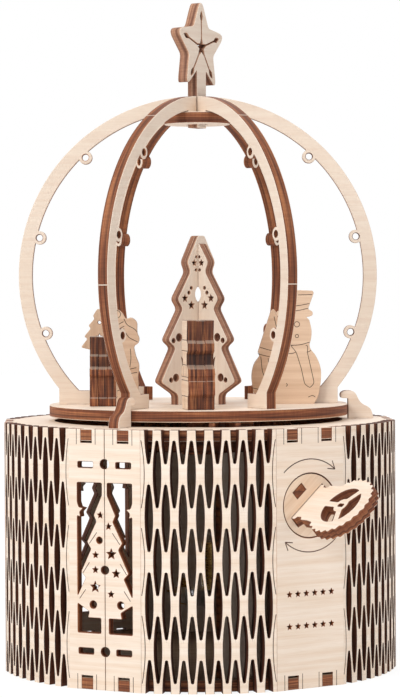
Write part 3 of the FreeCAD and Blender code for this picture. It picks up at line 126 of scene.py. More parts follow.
def place(origin, x_axis, y_axis):
    """Four rows: an origin and three directions, the third the cross of the others."""
    return np.array([origin, x_axis, y_axis, np.cross(x_axis, y_axis)], float)


def facing(azimuth, depth, side=0.0, height=0.0):
    """A plate that faces outward: X sideways, Y up, Z outward."""
    origin = outward(azimuth) * depth + sideways(azimuth) * side + UP * height
    return place(origin, sideways(azimuth), UP)


def level(height, x=0.0, y=0.0):
    """A level plate whose lower face is at a height."""
    return place((x, y, height), (1, 0, 0), (0, 1, 0))


def radial(azimuth, radius=0.0, height=TABLE_TOP, twist=0.0, thick=PLY, lift=0.0):
    """An upright plate centred on its radial plane: X outward, Y up; lift is along Z."""
    along = outward(azimuth + twist)
    across = np.cross(along, UP)
    origin = outward(azimuth) * radius + UP * height + across * (lift - thick / 2)
    return place(origin, along, UP)


def standing(azimuth, inset, twist=0.0, thick=PLY, lift=0.0):
    """A figure's place on the turntable, at a distance inside its rim."""
    return radial(REST + azimuth, TABLE - inset, TABLE_TOP, twist, thick, lift)


# ---- outlines


def join(*parts):
    """Rows of points one after another."""
    return np.concatenate(parts)


def rows_of(*columns):
    """Rows, such as points, out of their columns; one number goes with all the others."""
    return np.stack(np.broadcast_arrays(*columns), -1)


def polar(radius, angle, x=0.0, y=0.0):
    """The points at a distance and an angle from a middle."""
    angle = np.radians(angle)
    return rows_of(x + radius * np.cos(angle), y + radius * np.sin(angle))


def arc(radius, start, end, x=0.0, y=0.0, step=0.7):
    """Points of a circle from one angle to another, about step apart."""
    count = max(3, ceil(abs(radians(end - start)) * radius / step))
    return polar(radius, np.linspace(start, end, count + 1), x, y)


def circle(radius, x=0.0, y=0.0, step=0.7):
    """A closed circle of at least sixteen corners."""
    return arc(radius, 0, 360, x, y, min(step, radius * 0.39))[:-1]


def star(tip, valley, x=0.0, y=0.0):
    """Ten corners whose distance alternates between the tips and the valleys."""
    return polar(np.tile([tip, valley], 5), 90 + 36 * np.arange(10), x, y)


def punched(stars, dots, side):
    """The stars and round holes of two lists; side is 1, or -1 for their image."""
    return ([star(tip, valley, side * x, y) for x, y, tip, valley in stars]
            + [circle(radius, side * x, y) for x, y, radius in dots])


def rectangle(x, y, width, height):
    """Four corners about a centre."""
    corners = np.array([(-1, -1), (1, -1), (1, 1), (-1, 1)])
    return (x, y) + corners * (width / 2, height / 2)


def tenon(near, far):
    """A tenon that reaches a plate's thickness below its foot, between two places."""
    return [(near, 0), (near, -PLY), (far, -PLY), (far, 0)]


def mirror(side):
    """A side given from the foot up, closed by its image in the Y axis."""
    side = np.asarray(side, float)
    return join(side, side[::-1] * (-1, 1))


def length(rows):
    """The length of each row, in a column."""
    return np.linalg.norm(rows, axis=1, keepdims=True)


def soften(points, radius, steps=4):
    """Each corner becomes a parabola that leaves its edges at radius from the corner."""
    points = np.asarray(points, float)
    back, ahead = (np.roll(points, way, 0) - points for way in (1, -1))
    wanted = np.broadcast_to(radius, len(points))[:, None]
    reach = np.minimum(wanted, 0.45 * np.minimum(length(back), length(ahead)))
    start, end = (points + edge / np.maximum(length(edge), 1e-9) * reach
                  for edge in (back, ahead))
    t = np.linspace(0, 1, steps + 1)[:, None, None]
    bend = (1 - t) ** 2 * start + 2 * t * (1 - t) * points + t ** 2 * end
    return bend.transpose(1, 0, 2).reshape(-1, 2)


def distinct(loop):
    """A loop without points that lie on the one after them."""
    loop = np.asarray(loop, float)
    return loop[length(np.roll(loop, -1, 0) - loop)[:, 0] > 0.01]


def signed_area(loop):
    """Half the sum of the cross products of neighbouring corners."""
    after = np.roll(loop, -1, 0)
    return 0.5 * np.sum(loop[:, 0] * after[:, 1] - after[:, 0] * loop[:, 1])


def left_of(rows):
    """Each direction turned a quarter to the left."""
    return rows_of(-rows[:, 1], rows[:, 0])


def inset(loop, amount):
    """Each corner moved to the left of the way round, along the mitre of its edges."""
    edge = np.roll(loop, -1, 0) - loop
    left = left_of(edge / length(edge))
    before = np.roll(left, 1, 0)
    share = np.maximum(1 + np.sum(left * before, axis=1, keepdims=True), 0.5)
    return loop + (left + before) / share * np.reshape(amount, (-1, 1))


def fill(loops):
    """Triangles over an outline less its holes, all turned the same way."""
    flat = [np.pad(loop, ((0, 0), (0, 1))).tolist() for loop in loops]
    faces = np.array(geometry.tessellate_polygon(flat))
    one, two, three = join(*loops)[faces.T]
    (a, b), (c, d) = (two - one).T, (three - one).T
    area = a * d - b * c
    faces = np.where(area[:, None] < 0, faces[:, ::-1], faces)
    return faces[np.abs(area) > 1e-9]


# ---- shapes

# Where a finish stands in a piece's list of them.
FACE, EDGE, LINE, SLOT_EDGE, INSIDE = range(5)


class Shape:
    """Points, wood coordinates, faces and finishes gathered for one object."""

    def __init__(self):
        self.points, self.wood, self.faces, self.finish, self.count = [], [], [], [], 0

    def close(self, faces, finish, count):
        """Adds faces over the last count points."""
        self.faces += (np.asarray(faces) + self.count - count).tolist()
        self.finish.append(np.broadcast_to(finish, len(faces)))

    def add(self, points, wood, faces, finish):
        """Adds a block of points with its faces; wood is where the grain is read."""
        self.points.append(points)
        self.wood.append(wood)
        self.count += len(points)
        self.close(faces, finish, len(points))

    def net(self, points, wood, finish, keep=True):
        """Quads over rows of points, each row closed.

        Rows that go up, with points that go to the right, face the reader.
        """
        rows, columns = points.shape[:2]
        row = np.arange(rows - 1)[:, None] * columns
        here = np.arange(columns)
        beside = (here + 1) % columns
        above = row + columns
        quads = rows_of(row + here, row + beside, above + beside, above + here)
        keep, finish = (np.broadcast_to(each, quads.shape[:2]) for each in (keep, finish))
        self.add(points.reshape(-1, 3), wood.reshape(-1, 3), quads[keep], finish[keep])

    def slab(self, loops, thick, where, rim=RIM, upright=False, stacked=None):
        """A flat plate: bevel, wall and bevel carried round every loop, then two faces.

        The first loop is the outline. rim is the bevel's width, or one width a corner
        of the outline. upright lays the grain along the plate's own Y. stacked is how
        deep in a glued stack the plate lies: its wood goes on from the plate below and
        its outline's bevel is burnt, where it is pale on a plate by itself.
        """
        loops = [distinct(loop) for loop in loops]
        turned = [(signed_area(loop) < 0) == (k == 0) for k, loop in enumerate(loops)]
        loops = [loop[::-1] if flip else loop for loop, flip in zip(loops, turned)]
        rims = np.broadcast_to(rim, len(loops[0]))
        rims = rims[::-1] if turned[0] else rims
        starts = np.cumsum([len(loop) for loop in loops])[:-1]
        corners = join(*loops)
        count = len(corners)
        rims = join(rims, np.full(count - len(rims), RIM if np.ndim(rim) else rim))
        inner = [inset(*each) for each in zip(loops, np.split(rims, starts))]
        shrunk = join(*inner)
        local = join(*(rows_of(*plan.T, high) for plan, high in (
            (shrunk, 0), (corners, rims), (corners, thick - rims), (shrunk, thick))))
        here = np.arange(count)
        following = join(*(np.roll(each, -1) for each in np.split(here, starts)))
        wall = rows_of(here, following, following + count, here + count)
        bevel = np.where((here < len(loops[0])) & (stacked is None), FACE, EDGE)
        wood = (local[:, [1, 0, 2]] if upright else local) + (0, 0, stacked or 0.0)
        walls = join(wall, wall + count, wall + 2 * count)
        self.add(where[0] + local @ where[1:], wood, walls,
                 join(bevel, np.full(count, EDGE), bevel))
        caps = fill(inner)
        self.close(join(caps + 3 * count, caps[:, ::-1]), FACE, len(local))

    def stroke(self, path, width, where, height):
        """A line burnt into a face: a flat bar carried along a path in the plane."""
        path = np.asarray(path, float)
        run = np.gradient(path, axis=0)
        left = left_of(run / length(run)) * width / 2
        sides = (-left, 0.02), (left, 0.02), (left, -0.1), (-left, -0.1)
        local = np.stack([rows_of(*(path + move).T, height + rise) for move, rise in sides], 1)
        self.net(where[0] + local @ where[1:], local, LINE)

    def patch(self, corner, along, across, out):
        """A low four-sided block from a corner and three edges."""
        steps = np.array([(0, 0, 0), (1, 0, 0), (1, 1, 0), (0, 1, 0),
                          (0, 0, 1), (1, 0, 1), (1, 1, 1), (0, 1, 1)])
        faces = [(0, 3, 2, 1), (4, 5, 6, 7), (0, 1, 5, 4), (1, 2, 6, 5), (2, 3, 7, 6),
                 (3, 0, 4, 7)]
        points = corner + steps @ np.array([along, across, out], float)
        self.add(points, points, faces, FACE)

    def turned(self, profile, where, steps=48, wave=None):
        """A profile of (radius, height) carried round Z; wave adds to the radius."""
        radius, height = np.asarray(profile, float).T[:, :, None]
        angle = np.linspace(0, 2 * pi, steps, endpoint=False)
        if wave is not None:
            radius = radius + wave(angle[None, :], height)
        local = rows_of(radius * np.cos(angle), radius * np.sin(angle), height)
        self.net(where[0] + local @ where[1:], local, FACE)


def shape(name, body, made, finishes, replaced, crease=35.0):
    """One finished object out of gathered points and faces."""
    mesh = bpy.data.meshes.new(name)
    mesh.from_pydata((join(*made.points) / 1000).tolist(), [], made.faces)
    mesh.polygons.foreach_set("material_index", join(*made.finish).astype(np.int32))
    mesh.polygons.foreach_set("use_smooth", np.ones(len(mesh.polygons), bool))
    wood = mesh.attributes.new("wood", "FLOAT_VECTOR", "POINT")
    wood.data.foreach_set("vector", join(*made.wood).astype(np.float32).ravel())
    for finish in finishes:
        mesh.materials.append(finish)
    mesh.set_sharp_from_angle(angle=radians(crease))
    mesh.update()
    item = put(name, mesh)
    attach(item, body)
    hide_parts(*replaced)


def put(name, data):
    """A new object in the scene."""
    item = bpy.data.objects.new(name, data)
    scene.collection.objects.link(item)
    return item


def plate(name, body, loops, where, finishes, replaced, **form):
    """A piece that is one flat plate."""
    made = Shape()
    made.slab(loops, PLY, where, **form)
    shape(name, body, made, finishes, replaced)


# ---- finishes


def tone(red, green, blue):
    """A colour as it looks, 0 to 255, turned into linear light."""
    value = np.array([red, green, blue]) / 255
    linear = np.where(value <= 0.04045, value / 12.92, ((value + 0.055) / 1.055) ** 2.4)
    return (*linear.tolist(), 1.0)


def node(tree, kind, inputs=None, out=0, **settings):
    """An output of a new node; an input is a number, a colour or another's output."""
    made = tree.nodes.new("ShaderNode" + kind)
    for key, value in settings.items():
        setattr(made, key, value)
    for key, value in (inputs or {}).items():
        if isinstance(value, bpy.types.NodeSocket):
            tree.links.new(value, made.inputs[key])
        else:
            made.inputs[key].default_value = value
    return made.outputs[out]


def number(tree, operation, one, two=0.0):
    """A Math node."""
    return node(tree, "Math", {0: one, 1: two}, operation=operation)


def part_of(tree, vector, axis):
    """One of the three numbers of a vector."""
    return node(tree, "SeparateXYZ", {"Vector": vector}, axis)


def streaks(tree, where, scale, detail=3.0, size=1.0):
    """Noise stretched by a scale along each axis, in waves a millimetre."""
    spot = node(tree, "Mapping", {"Vector": where, "Scale": scale})
    return node(tree, "TexNoise",
                {"Vector": spot, "Scale": size, "Detail": detail, "Roughness": 0.55})


def ramp(tree, factor, *stops):
    """A colour band; a stop is its position and red, green and blue, or one grey."""
    made = node(tree, "ValToRGB", {0: factor})
    band = made.node.color_ramp.elements
    while len(band) < len(stops):
        band.new(0.5)
    for element, (position, *colour) in zip(band, stops):
        element.position = position
        element.color = (*(colour * 3)[:3], 1)
    return made


def blended(tree, one, two, factor=1.0, mode="MULTIPLY"):
    """One colour multiplied by another or mixed with it, by a factor."""
    inputs = {0: factor, 6: one, 7: two}
    return node(tree, "Mix", inputs, 2, data_type="RGBA", blend_type=mode)


def face_colour(tree, where, light, shade):
    """Pale veneer: slow clouds and long fine streaks along the grain, X."""
    long_grain = streaks(tree, where, (0.018, 0.55, 0.3), 4.0)
    fine_grain = streaks(tree, where, (0.12, 3.2, 1.0), 2.0)
    cloud = streaks(tree, where, (0.02, 0.035, 0.03), 2.0)
    bands = ramp(tree, long_grain, (0.38, *light), (0.66, *shade))
    lines = ramp(tree, fine_grain, (0.5, 1), (0.78, 0.93, 0.9, 0.87))
    clouds = ramp(tree, cloud, (0.35, 0.965, 0.95, 0.93), (0.65, 1))
    return blended(tree, blended(tree, bands, lines), clouds), long_grain


def edge_colour(tree, where, along, dark, brown, pale):
    """Burnt ply on its edge: veneers and glue lines by depth, soot along, fine strokes."""
    veneer_thick = 1.36
    layer = number(tree, "PINGPONG", part_of(tree, where, 2), veneer_thick)
    soot = streaks(tree, where, along)
    body = ramp(tree, soot, (0.32, *dark), (0.5, *brown), (0.68, *pale))
    glue = ramp(tree, number(tree, "DIVIDE", layer, veneer_thick), (0.0, 1.2, 1.12, 1.05),
                (0.35, 1), (0.82, 0.84, 0.8, 0.78), (0.95, 0.42, 0.34, 0.3))
    strokes = ramp(tree, streaks(tree, where, (1.5, 1.5, 0.12), 1.0),
                   (0.35, 0.88, 0.86, 0.85), (0.65, 1.06))
    return blended(tree, blended(tree, body, glue, 0.9), strokes), soot


def wood_place(tree):
    """The wood coordinates that each new piece carries, in millimetres."""
    return node(tree, "Attribute", out="Vector", attribute_name="wood")


def new_finish(name, roughness, paint, metallic=0.0, strength=0.25, depth=0.0002):
    """A material; paint works out its colour and the height of its bump."""
    material = bpy.data.materials.new(name)
    material.use_nodes = True
    tree = material.node_tree
    shader = tree.nodes["Principled BSDF"].inputs
    shader["Roughness"].default_value = roughness
    shader["Metallic"].default_value = metallic
    colour, height = paint(tree)
    bump = node(tree, "Bump", {"Height": height, "Strength": strength, "Distance": depth})
    tree.links.new(colour, shader["Base Color"])
    tree.links.new(bump, shader["Normal"])
    return material


def veneer(name, *tones):
    """The pale face of a plate."""
    return new_finish(name, 0.62, lambda tree: face_colour(tree, wood_place(tree), *tones))


def burnt(name, *tones):
    """The laser-cut edge of a plate."""
    along = 0.035, 0.035, 1.5
    return new_finish(name, 0.72,
                      lambda tree: edge_colour(tree, wood_place(tree), along, *tones))


def burnt_steps(name, *tones):
    """The edge of a stepped figure: painted shade where it is narrow, painted highlight on the
    ledges that face up.
    """
    def paint(tree):
        """Painted shade by the distance from the middle, and a share of painted highlight on
        what faces up.
        """
        where = wood_place(tree)
        colour, soot = edge_colour(tree, where, (0.04, 0.07, 1.3), *tones)
        from_middle = number(tree, "ABSOLUTE", part_of(tree, where, 0))
        # Painted shade: darker where the outline is narrow, in the recesses.
        painted_recess_shade = ramp(tree, number(tree, "MULTIPLY", from_middle, 0.125),
                        (0.42, 0.72, 0.68, 0.62), (0.5, 0.3, 0.25, 0.22),
                        (0.56, 0.8, 0.78, 0.76), (0.76, 1), (0.86, 1.3))
        colour = blended(tree, colour, painted_recess_shade)
        # Painted highlight: faces that look up are mixed towards the pale tone.
        upward = part_of(tree, node(tree, "TexCoord", out="Normal"), 2)
        painted_ledge_light = number(tree, "MULTIPLY", number(tree, "GREATER_THAN", upward, 0.6), 0.25)
        return blended(tree, colour, BIRCH_SHADE, painted_ledge_light, "MIX"), soot

    return new_finish(name, 0.72, paint)


def solid_wood(name, normal, shade=1.0):
    """A plate kept as its solid: pale faces along a direction, burnt elsewhere; shade under one
    darkens the faces as painted shade.
    """
    def paint(tree):
        """The face's colour where the normal lies along the direction, else the edge's."""
        where = node(tree, "Mapping", {"Vector": node(tree, "TexCoord", out="Object"),
                                       "Scale": (1000, 1000, 1000)})
        light, dim = ([shade * part for part in colour[:3]]
                      for colour in (BIRCH_LIGHT, BIRCH_SHADE))
        pale, _ = face_colour(tree, where, light, dim)
        dark, soot = edge_colour(tree, where, (0.3, 0.3, 0.3), SOOT, BURNT, SCORCHED)
        lean = node(tree, "VectorMath", {0: node(tree, "TexCoord", out="Normal"), 1: normal},
                    "Value", operation="DOT_PRODUCT")
        flat = number(tree, "GREATER_THAN", number(tree, "ABSOLUTE", lean), 0.7)
        return blended(tree, dark, pale, flat, "MIX"), soot

    return new_finish(name, 0.66, paint, strength=0.15)


def metal(name, colour, roughness, grain, strength):
    """Bare metal: its roughness and a fine bump follow stretched noise."""
    def paint(tree):
        """Noise from low to high roughness, and from a dim tint to the full one."""
        noise = streaks(tree, node(tree, "TexCoord", out="Object"), grain, 4.0, 1000.0)
        rough = ramp(tree, noise, (0.3, roughness * 0.7), (0.7, min(1.0, roughness * 1.5)))
        tree.links.new(rough, tree.nodes["Principled BSDF"].inputs["Roughness"])
        dim = [0.78 * part for part in colour[:3]]
        return ramp(tree, noise, (0.25, *dim), (0.6, *colour)), noise

    return new_finish(name, roughness, paint, 1.0, strength, 0.00005)


BIRCH_LIGHT = tone(252, 238, 224)
BIRCH_SHADE = tone(243, 223, 203)
SOOT = tone(88, 42, 20)
BURNT = tone(130, 74, 44)
SCORCHED = tone(172, 114, 74)

veneer_pale = veneer("birch_veneer", BIRCH_LIGHT, BIRCH_SHADE)
veneer_warm = veneer("birch_veneer_warm", tone(244, 222, 200), tone(232, 204, 178))
veneer_rose = veneer("birch_veneer_rose", tone(234, 206, 180), tone(220, 188, 160))
# Painted shade: the same birch, darkened for the dark inside of the drum.
veneer_painted_shade = veneer("birch_veneer_painted_shade", tone(152, 128, 106), tone(126, 102, 82))
veneer_grey = veneer("birch_veneer_grey", tone(240, 226, 211), tone(234, 216, 200))
edge_brown = burnt("laser_cut_edge", SOOT, BURNT, SCORCHED)
# The slots' walls: burnt ply, darker still as painted shade inside the narrow slots.
edge_burn_and_shade = burnt("laser_cut_slot_burn_and_shade", tone(50, 19, 8), tone(86, 43, 22), tone(124, 70, 42))
edge_light = burnt("laser_cut_light", tone(122, 78, 58), tone(164, 120, 96),
                   tone(204, 164, 136))
edge_stepped = burnt_steps("laser_cut_steps", tone(54, 20, 7), tone(108, 58, 34),
                           tone(164, 108, 68))
burnt_line = burnt("burnt_line", tone(48, 26, 18), tone(74, 44, 30), tone(98, 60, 42))
steel = metal("bright_steel", tone(200, 200, 204), 0.28, (0.6, 0.6, 6.0), 0.2)
cast = metal("plated_casting", tone(188, 182, 170), 0.45, (1.4, 1.4, 1.4), 0.5)
brass = metal("brass", tone(206, 174, 108), 0.24, (0.5, 0.5, 5.0), 0.2)
WOOD = (veneer_pale, edge_brown)
GREY_WOOD = (veneer_grey, edge_light)


def put_finish(finish, *names):
    """Gives solids that stay as they are their finish."""
    for name in names:
        slots = nodes[name].data.materials
        slots.clear()
        slots.append(finish)


put_finish(steel, "comb", "winding_shaft", "cylinder_arbor")
put_finish(cast, "movement_bedplate", "governor_bracket")
put_finish(brass, "cylinder_wheel", "governor_fan")
put_finish(solid_wood("level_ply", (0, 0, 1)), "bearing_plate", "thrust_washer",
           "drive_gear", "drive_pinion", "turntable_axle")
# The three boards inside the drum are darkened to 0.6: painted shade for the dark inside.
for solid, azimuth in zip(("movement_board", "panel_board_rear", "panel_board_left"),
                          BOARD_AZIMUTHS):
    put_finish(solid_wood(solid + "_ply", tuple(outward(azimuth)), 0.6), solid)
put_finish(solid_wood("peg_ends", (0, 0, 0)), "key_collar")


# ---- the wrap


def on_drum(radius, turn, height):
    """Points at a radius, an angle in radians from the front and a height."""
    return rows_of(radius * np.sin(turn), -radius * np.cos(turn), height)


def hinge(sheet, start):
    """The living hinge between two panels, from the azimuth of its first corner.

    Sixteen upright ribbons, each a six-cornered profile carried up the drum. A slot
    takes the same from the ribbon on each side: a half circle at its ends, and between
    them that circle's radius plus a swell times (1 - u squared), where u runs from -1
    to 1 between the two circles' middles. Nothing is taken between two slots.
    """
    column = np.arange(COLUMNS + 1)
    odd, even = np.arange(4) * PERIOD, (np.arange(4) + 0.5) * PERIOD
    share = np.sin(np.linspace(-pi / 2, pi / 2, 17))
    heights = (join(odd, even)[:, None] + SLOT_HALF * share).ravel()
    heights = np.unique(np.round(np.clip(heights, 0, TOP), 3))
    away = np.abs(heights - np.where(column[:, None, None] % 2, odd[:, None], even[:, None]))
    straight = SLOT_HALF - SLOT_NOSE
    beyond = np.clip((away - straight) / SLOT_NOSE, 0, 1)
    nose = np.where(away < SLOT_HALF, SLOT_NOSE * np.sqrt(1 - beyond ** 2), 0)
    swell = SLOT_SWELL * np.clip(1 - (away / straight) ** 2, 0, 1)
    gap = np.max(nose + swell, axis=1)
    gap[np.abs(gap) < 1e-3] = 0.0
    gap[[0, -1]] = 0.0
    per_mm = 180 / pi / DRUM
    for index in range(COLUMNS):
        gaps = gap[index:index + 2]
        left = start + COLUMN_ANGLE * index + gaps[0] * per_mm
        right = start + COLUMN_ANGLE * (index + 1) - gaps[1] * per_mm
        bevels = np.minimum(gaps, RIBBON_RIM)
        angles = rows_of(left + bevels[0] * per_mm, right - bevels[1] * per_mm, right, right,
                         left, left)
        radii = rows_of(RIBBON_OUT, RIBBON_OUT, RIBBON_OUT - bevels[1], RIBBON_IN, RIBBON_IN,
                        RIBBON_OUT - bevels[0])
        points = on_drum(radii, np.radians(angles), heights[:, None])
        wood = rows_of(np.radians(angles - start) * DRUM, points[..., 2], radii - RIBBON_IN)
        at_left, at_right = (gaps[:, 1:] > 0) | (gaps[:, :-1] > 0)
        # The slot walls take the darker burnt edge, painted shade.
        sheet.net(points, wood, (FACE, SLOT_EDGE, SLOT_EDGE, INSIDE, SLOT_EDGE, SLOT_EDGE),
                  rows_of(True, at_right, at_right, True, at_left, at_left))
        ends = np.array([(5, 4, 3, 2), (5, 2, 1, 0)])
        sheet.close(join(ends, ends[:, ::-1] + angles.size - 6), SLOT_EDGE, angles.size)


def hinge_lines(sheet, start):
    """The curved cuts where a hinge begins and ends, one beside each slot.

    Each is a flat bar on the drum: its azimuth departs from the fold by 0.3 plus 1.1
    times (1 - u squared), in millimetres of arc, where u runs from -1 to 1.
    """
    share = np.linspace(-1, 1, 15)[:, None]
    bow = 0.3 + 1.1 * (1 - share ** 2)
    for edge, side in ((start, 1), (start + COLUMNS * COLUMN_ANGLE, -1)):
        turn = radians(edge) + (side * bow + np.array([-0.13, 0.13, 0.13, -0.13])) / DRUM
        for middle in (np.arange(3) + 0.5) * PERIOD:
            points = on_drum(DRUM - np.array([0.1, 0.1, 0.23, 0.23]), turn,
                             middle + SLOT_HALF * share)
            sheet.net(points, points, LINE)


def notched(sides, height, deep):
    """A level edge with a notch at each side given, as points from left to right."""
    steps = [[(s - NOTCH, height), (s - NOTCH, height + deep), (s + NOTCH, height + deep),
              (s + NOTCH, height)] for s in sides]
    return np.reshape(steps, (-1, 2))


def panel_outline(left, sides, left_edge=()):
    """A flat panel from its left lower corner round to the points down its left edge."""
    return join([(left, 0)], notched(sides, 0, NOTCH_DEEP), [(PANEL_HALF, 0), (PANEL_HALF, TOP)],
                notched(sides, TOP, -NOTCH_DEEP)[::-1], [(left, TOP)], *left_edge)


def flat_panel(sheet, azimuth, loops, folds, sides):
    """A flat panel and the relief cuts beside its notches; no bevel lies at a fold."""
    where = facing(azimuth, PANEL_IN)
    at_fold = np.any(np.isclose(loops[0][:, :1], folds), axis=1)
    sheet.slab(loops, WRAP, where, np.where(at_fold, 0.0, RIM))
    for side in sides:
        for move in (-RELIEF_SPREAD, RELIEF_SPREAD):
            for low, high in ((0.0, RELIEF_LONG), (TOP - RELIEF_LONG, TOP)):
                sheet.stroke(rows_of(side + move, np.linspace(low, high, 5)), 0.22, where, WRAP)
    return where


# The window's edges and half a fir in it, right of the seam, from the top down.
WINDOW = 10.5
WINDOW_LOW = 19.2
WINDOW_HIGH = 69.9
FIR_EDGE = [
    (1.1, WINDOW_HIGH), (1.1, 65.8), (4.25, 59), (3.2, 56.9), (6.86, 49.9), (5.3, 47.6),
    (9.2, 39.7), (7.4, 37.8), (WINDOW, 31.8), (WINDOW, 58.7), (9.3, 58.1), (9.6, 60),
    (8.1, 61.3), (9.9, 61.6), (WINDOW, 63.3), (WINDOW, WINDOW_HIGH)]
FIR_FOOT = [
    (WINDOW, 29), (6.1, 26.4), (6.6, 24.3), (1.6, 24.3), (1.6, WINDOW_LOW), (WINDOW, WINDOW_LOW)]
# Cuts in the fir: x with the seam at zero, height, and radius or tip and valley.
STAR_CUTS = [
    (-1.6, 59.1, 1.15, 0.5), (1.5, 55.4, 1.15, 0.5), (-3.5, 45.6, 1.15, 0.5),
    (-3.6, 40.6, 1.15, 0.5), (2.4, 32.6, 1.15, 0.5), (2.55, 46.1, 1.9, 0.798),
    (4.4, 39.6, 1.55, 0.651), (-3.7, 34.8, 1.95, 0.819)]
ROUND_CUTS = [(-2, 50.6, 1.15), (-4.5, 28.8, 1.3), (6.1, 29, 1.3)]
TIER_CUTS = [((3, 53.2), (5.9, 49.4)), ((5.9, 43), (8.4, 39.4)), ((7.4, 33.8), (9.8, 30.6))]


def half_panel(sheet, azimuth, side):
    """Half a window panel; side is 1 right of the seam and -1 left of it."""
    seam = 0.12
    bites = [arc(radius, -90, 90, seam, height, 0.35)[::-1]
             for height, radius in ((76.3, 1.7), (40.6, 1.5), (13, 1.7))]
    cuts = [soften(FIR_EDGE, 0.45, 3), soften(FIR_FOOT, 0.45, 3)]
    cuts += [soften(rectangle(7.3, height, 5.8, 2), 0.4, 2) for height in (13, 76)]
    stars, dots = ([cut for cut in listed if cut[0] * side > 0]
                   for listed in (STAR_CUTS, ROUND_CUTS))
    cuts += punched(stars, dots, side)
    loops = [panel_outline(seam, (TAB_SPREAD,), bites)] + cuts
    where = flat_panel(sheet, azimuth, [loop * (side, 1) for loop in loops],
                       (side * PANEL_HALF,), (side * TAB_SPREAD,))
    for ends in TIER_CUTS:
        sheet.stroke(np.linspace(*ends, 4) * (side, 1), 0.24, where, WRAP)


def key_panel_holes():
    """The round hole of the key's disc and two rows of six little stars."""
    return [circle(10.98, 0, KEY_HEIGHT, 0.6)] + [
        star(1.02, 0.44, 3.45 * (k - 2.5), height) for height in (32.2, 21.3) for k in range(6)]


def key_panel_arrows(sheet, where):
    """Two engraved arrows that show the way to wind: an arc and a two-stroke head."""
    for start, end in ((133, 49), (-47, -131)):
        path = arc(15.7, start, end, 0, KEY_HEIGHT, 1)
        sheet.stroke(path, 0.34, where, WRAP)
        run = path[-1] - path[-2]
        heading = degrees(atan2(run[1], run[0]))
        for turn in (150, 213):
            barb = np.linspace(path[-1], path[-1] + polar(3.1, heading + turn), 4)
            sheet.stroke(barb, 0.34, where, WRAP)


for name, seam in zip(("key", "rear", "left"), SEAMS):
    sheet = Shape()
    half_panel(sheet, seam, 1)
    for start in (seam + HALF_ANGLE, seam + 60 + HALF_ANGLE):
        hinge(sheet, start)
        hinge_lines(sheet, start)
    sides = (-TAB_SPREAD, TAB_SPREAD)
    holes = key_panel_holes() if name == "key" else []
    where = flat_panel(sheet, seam + 60, [panel_outline(-PANEL_HALF, sides)] + holes,
                       (-PANEL_HALF, PANEL_HALF), sides)
    if name == "key":
        key_panel_arrows(sheet, where)
    half_panel(sheet, seam + 120, -1)
    shape("hinged_wrap_" + name, "base", sheet,
          # The wrap's inner faces take the dark veneer, painted shade.
          (veneer_pale, edge_brown, burnt_line, edge_burn_and_shade, veneer_painted_shade),
          ("wrap_sheet_" + name,))


# ---- level plates


def on_plan(azimuth, corners):
    """Corners given sideways and outward of an azimuth, on the plan."""
    return np.asarray(corners) @ np.stack([sideways(azimuth)[:2], outward(azimuth)[:2]])


def drum_plan():
    """The plan of a plate that fills the drum: six flats with two tabs, and six arcs."""
    near, far = PANEL_IN - 0.1, PANEL_OUT - 0.15
    flat = [(-PANEL_HALF + 0.1, near)]
    for side in (-TAB_SPREAD, TAB_SPREAD):
        flat += [(side - 2.1, near), (side - 2.1, far), (side + 2.1, far), (side + 2.1, near)]
    flat.append((PANEL_HALF - 0.1, near))
    stretches = []
    for azimuth in range(-30, 330, 60):
        bend = np.radians(azimuth + HALF_ANGLE + np.linspace(0.6, 37, 26))
        stretches += [on_plan(azimuth, flat), on_drum(PANEL_IN - 0.15, bend, 0)[:, :2]]
    return join(*stretches)


def deck_opening():
    """The circle the deck lies back to, with a bay round the drive pinion.

    The two circles cross where the law of cosines puts them, and the outline is the
    larger circle outside the bay and the bay's own circle inside it.
    """
    x, y = on_plan(KEY_AZIMUTH, ARBOR)
    reach = hypot(x, y)
    module = 2 * reach / (GEAR_TEETH + PINION_TEETH)
    bay = module * (PINION_TEETH / 2 + ADDENDUM) + PINION_CLEAR
    middle = degrees(atan2(y, x))
    apart = acos((DECK_HOLE ** 2 + reach ** 2 - bay ** 2) / (2 * DECK_HOLE * reach))
    swing = degrees(asin(DECK_HOLE * sin(apart) / bay))
    apart = degrees(apart)
    return join(arc(DECK_HOLE, middle + apart, middle + 360 - apart, step=1.2),
                arc(bay, middle - swing, middle + swing, x, y)[1:-1])


keeper_slots = [on_plan(seam, rectangle(0, 58.9, SLOT, 5.2)) for seam in SEAMS]
plate("deck_ring", "base", [drum_plan(), deck_opening()] + keeper_slots, level(TOP - PLY),
      WOOD, ("deck_plate",), rim=0.2)
board_slots = [on_plan(azimuth, rectangle(side, BOARD_FACE + PLY / 2, 8.2, SLOT))
               for azimuth in BOARD_AZIMUTHS for side in (-9, 9)]
# The floor plate's faces take the dark veneer, painted shade for the inside of the drum.
plate("floor_plate", "base", [drum_plan()] + board_slots, level(0),
      (veneer_painted_shade, edge_brown), ("base_plate",), rim=0.2)

KEEPER = [(0, 0), *tenon(3, 8), (9, 0), (8.85, 1.6), (8.1, 3.5), (6.8, 4.5), (5.3, 5.1),
          (4, 6.4), (3.2, 8.1), (2.5, 9.4), (1.1, 10.1), (-1.2, 10.1), (-2.5, 9.5),
          (-2.9, 8.5), (-2.6, 7.5), (-1.9, 7.3), (0, 7.3)]
for name, seam in zip(("front", "right", "rear"), SEAMS):
    plate("keeper_hook_" + name, "base",
          [soften(KEEPER, [0] * 5 + [0.3] + [0.9] * 13 + [0.3], 3)],
          radial(seam, TABLE + 0.4, TOP), WOOD, ("keeper_" + name,))


# ---- turntable and dome

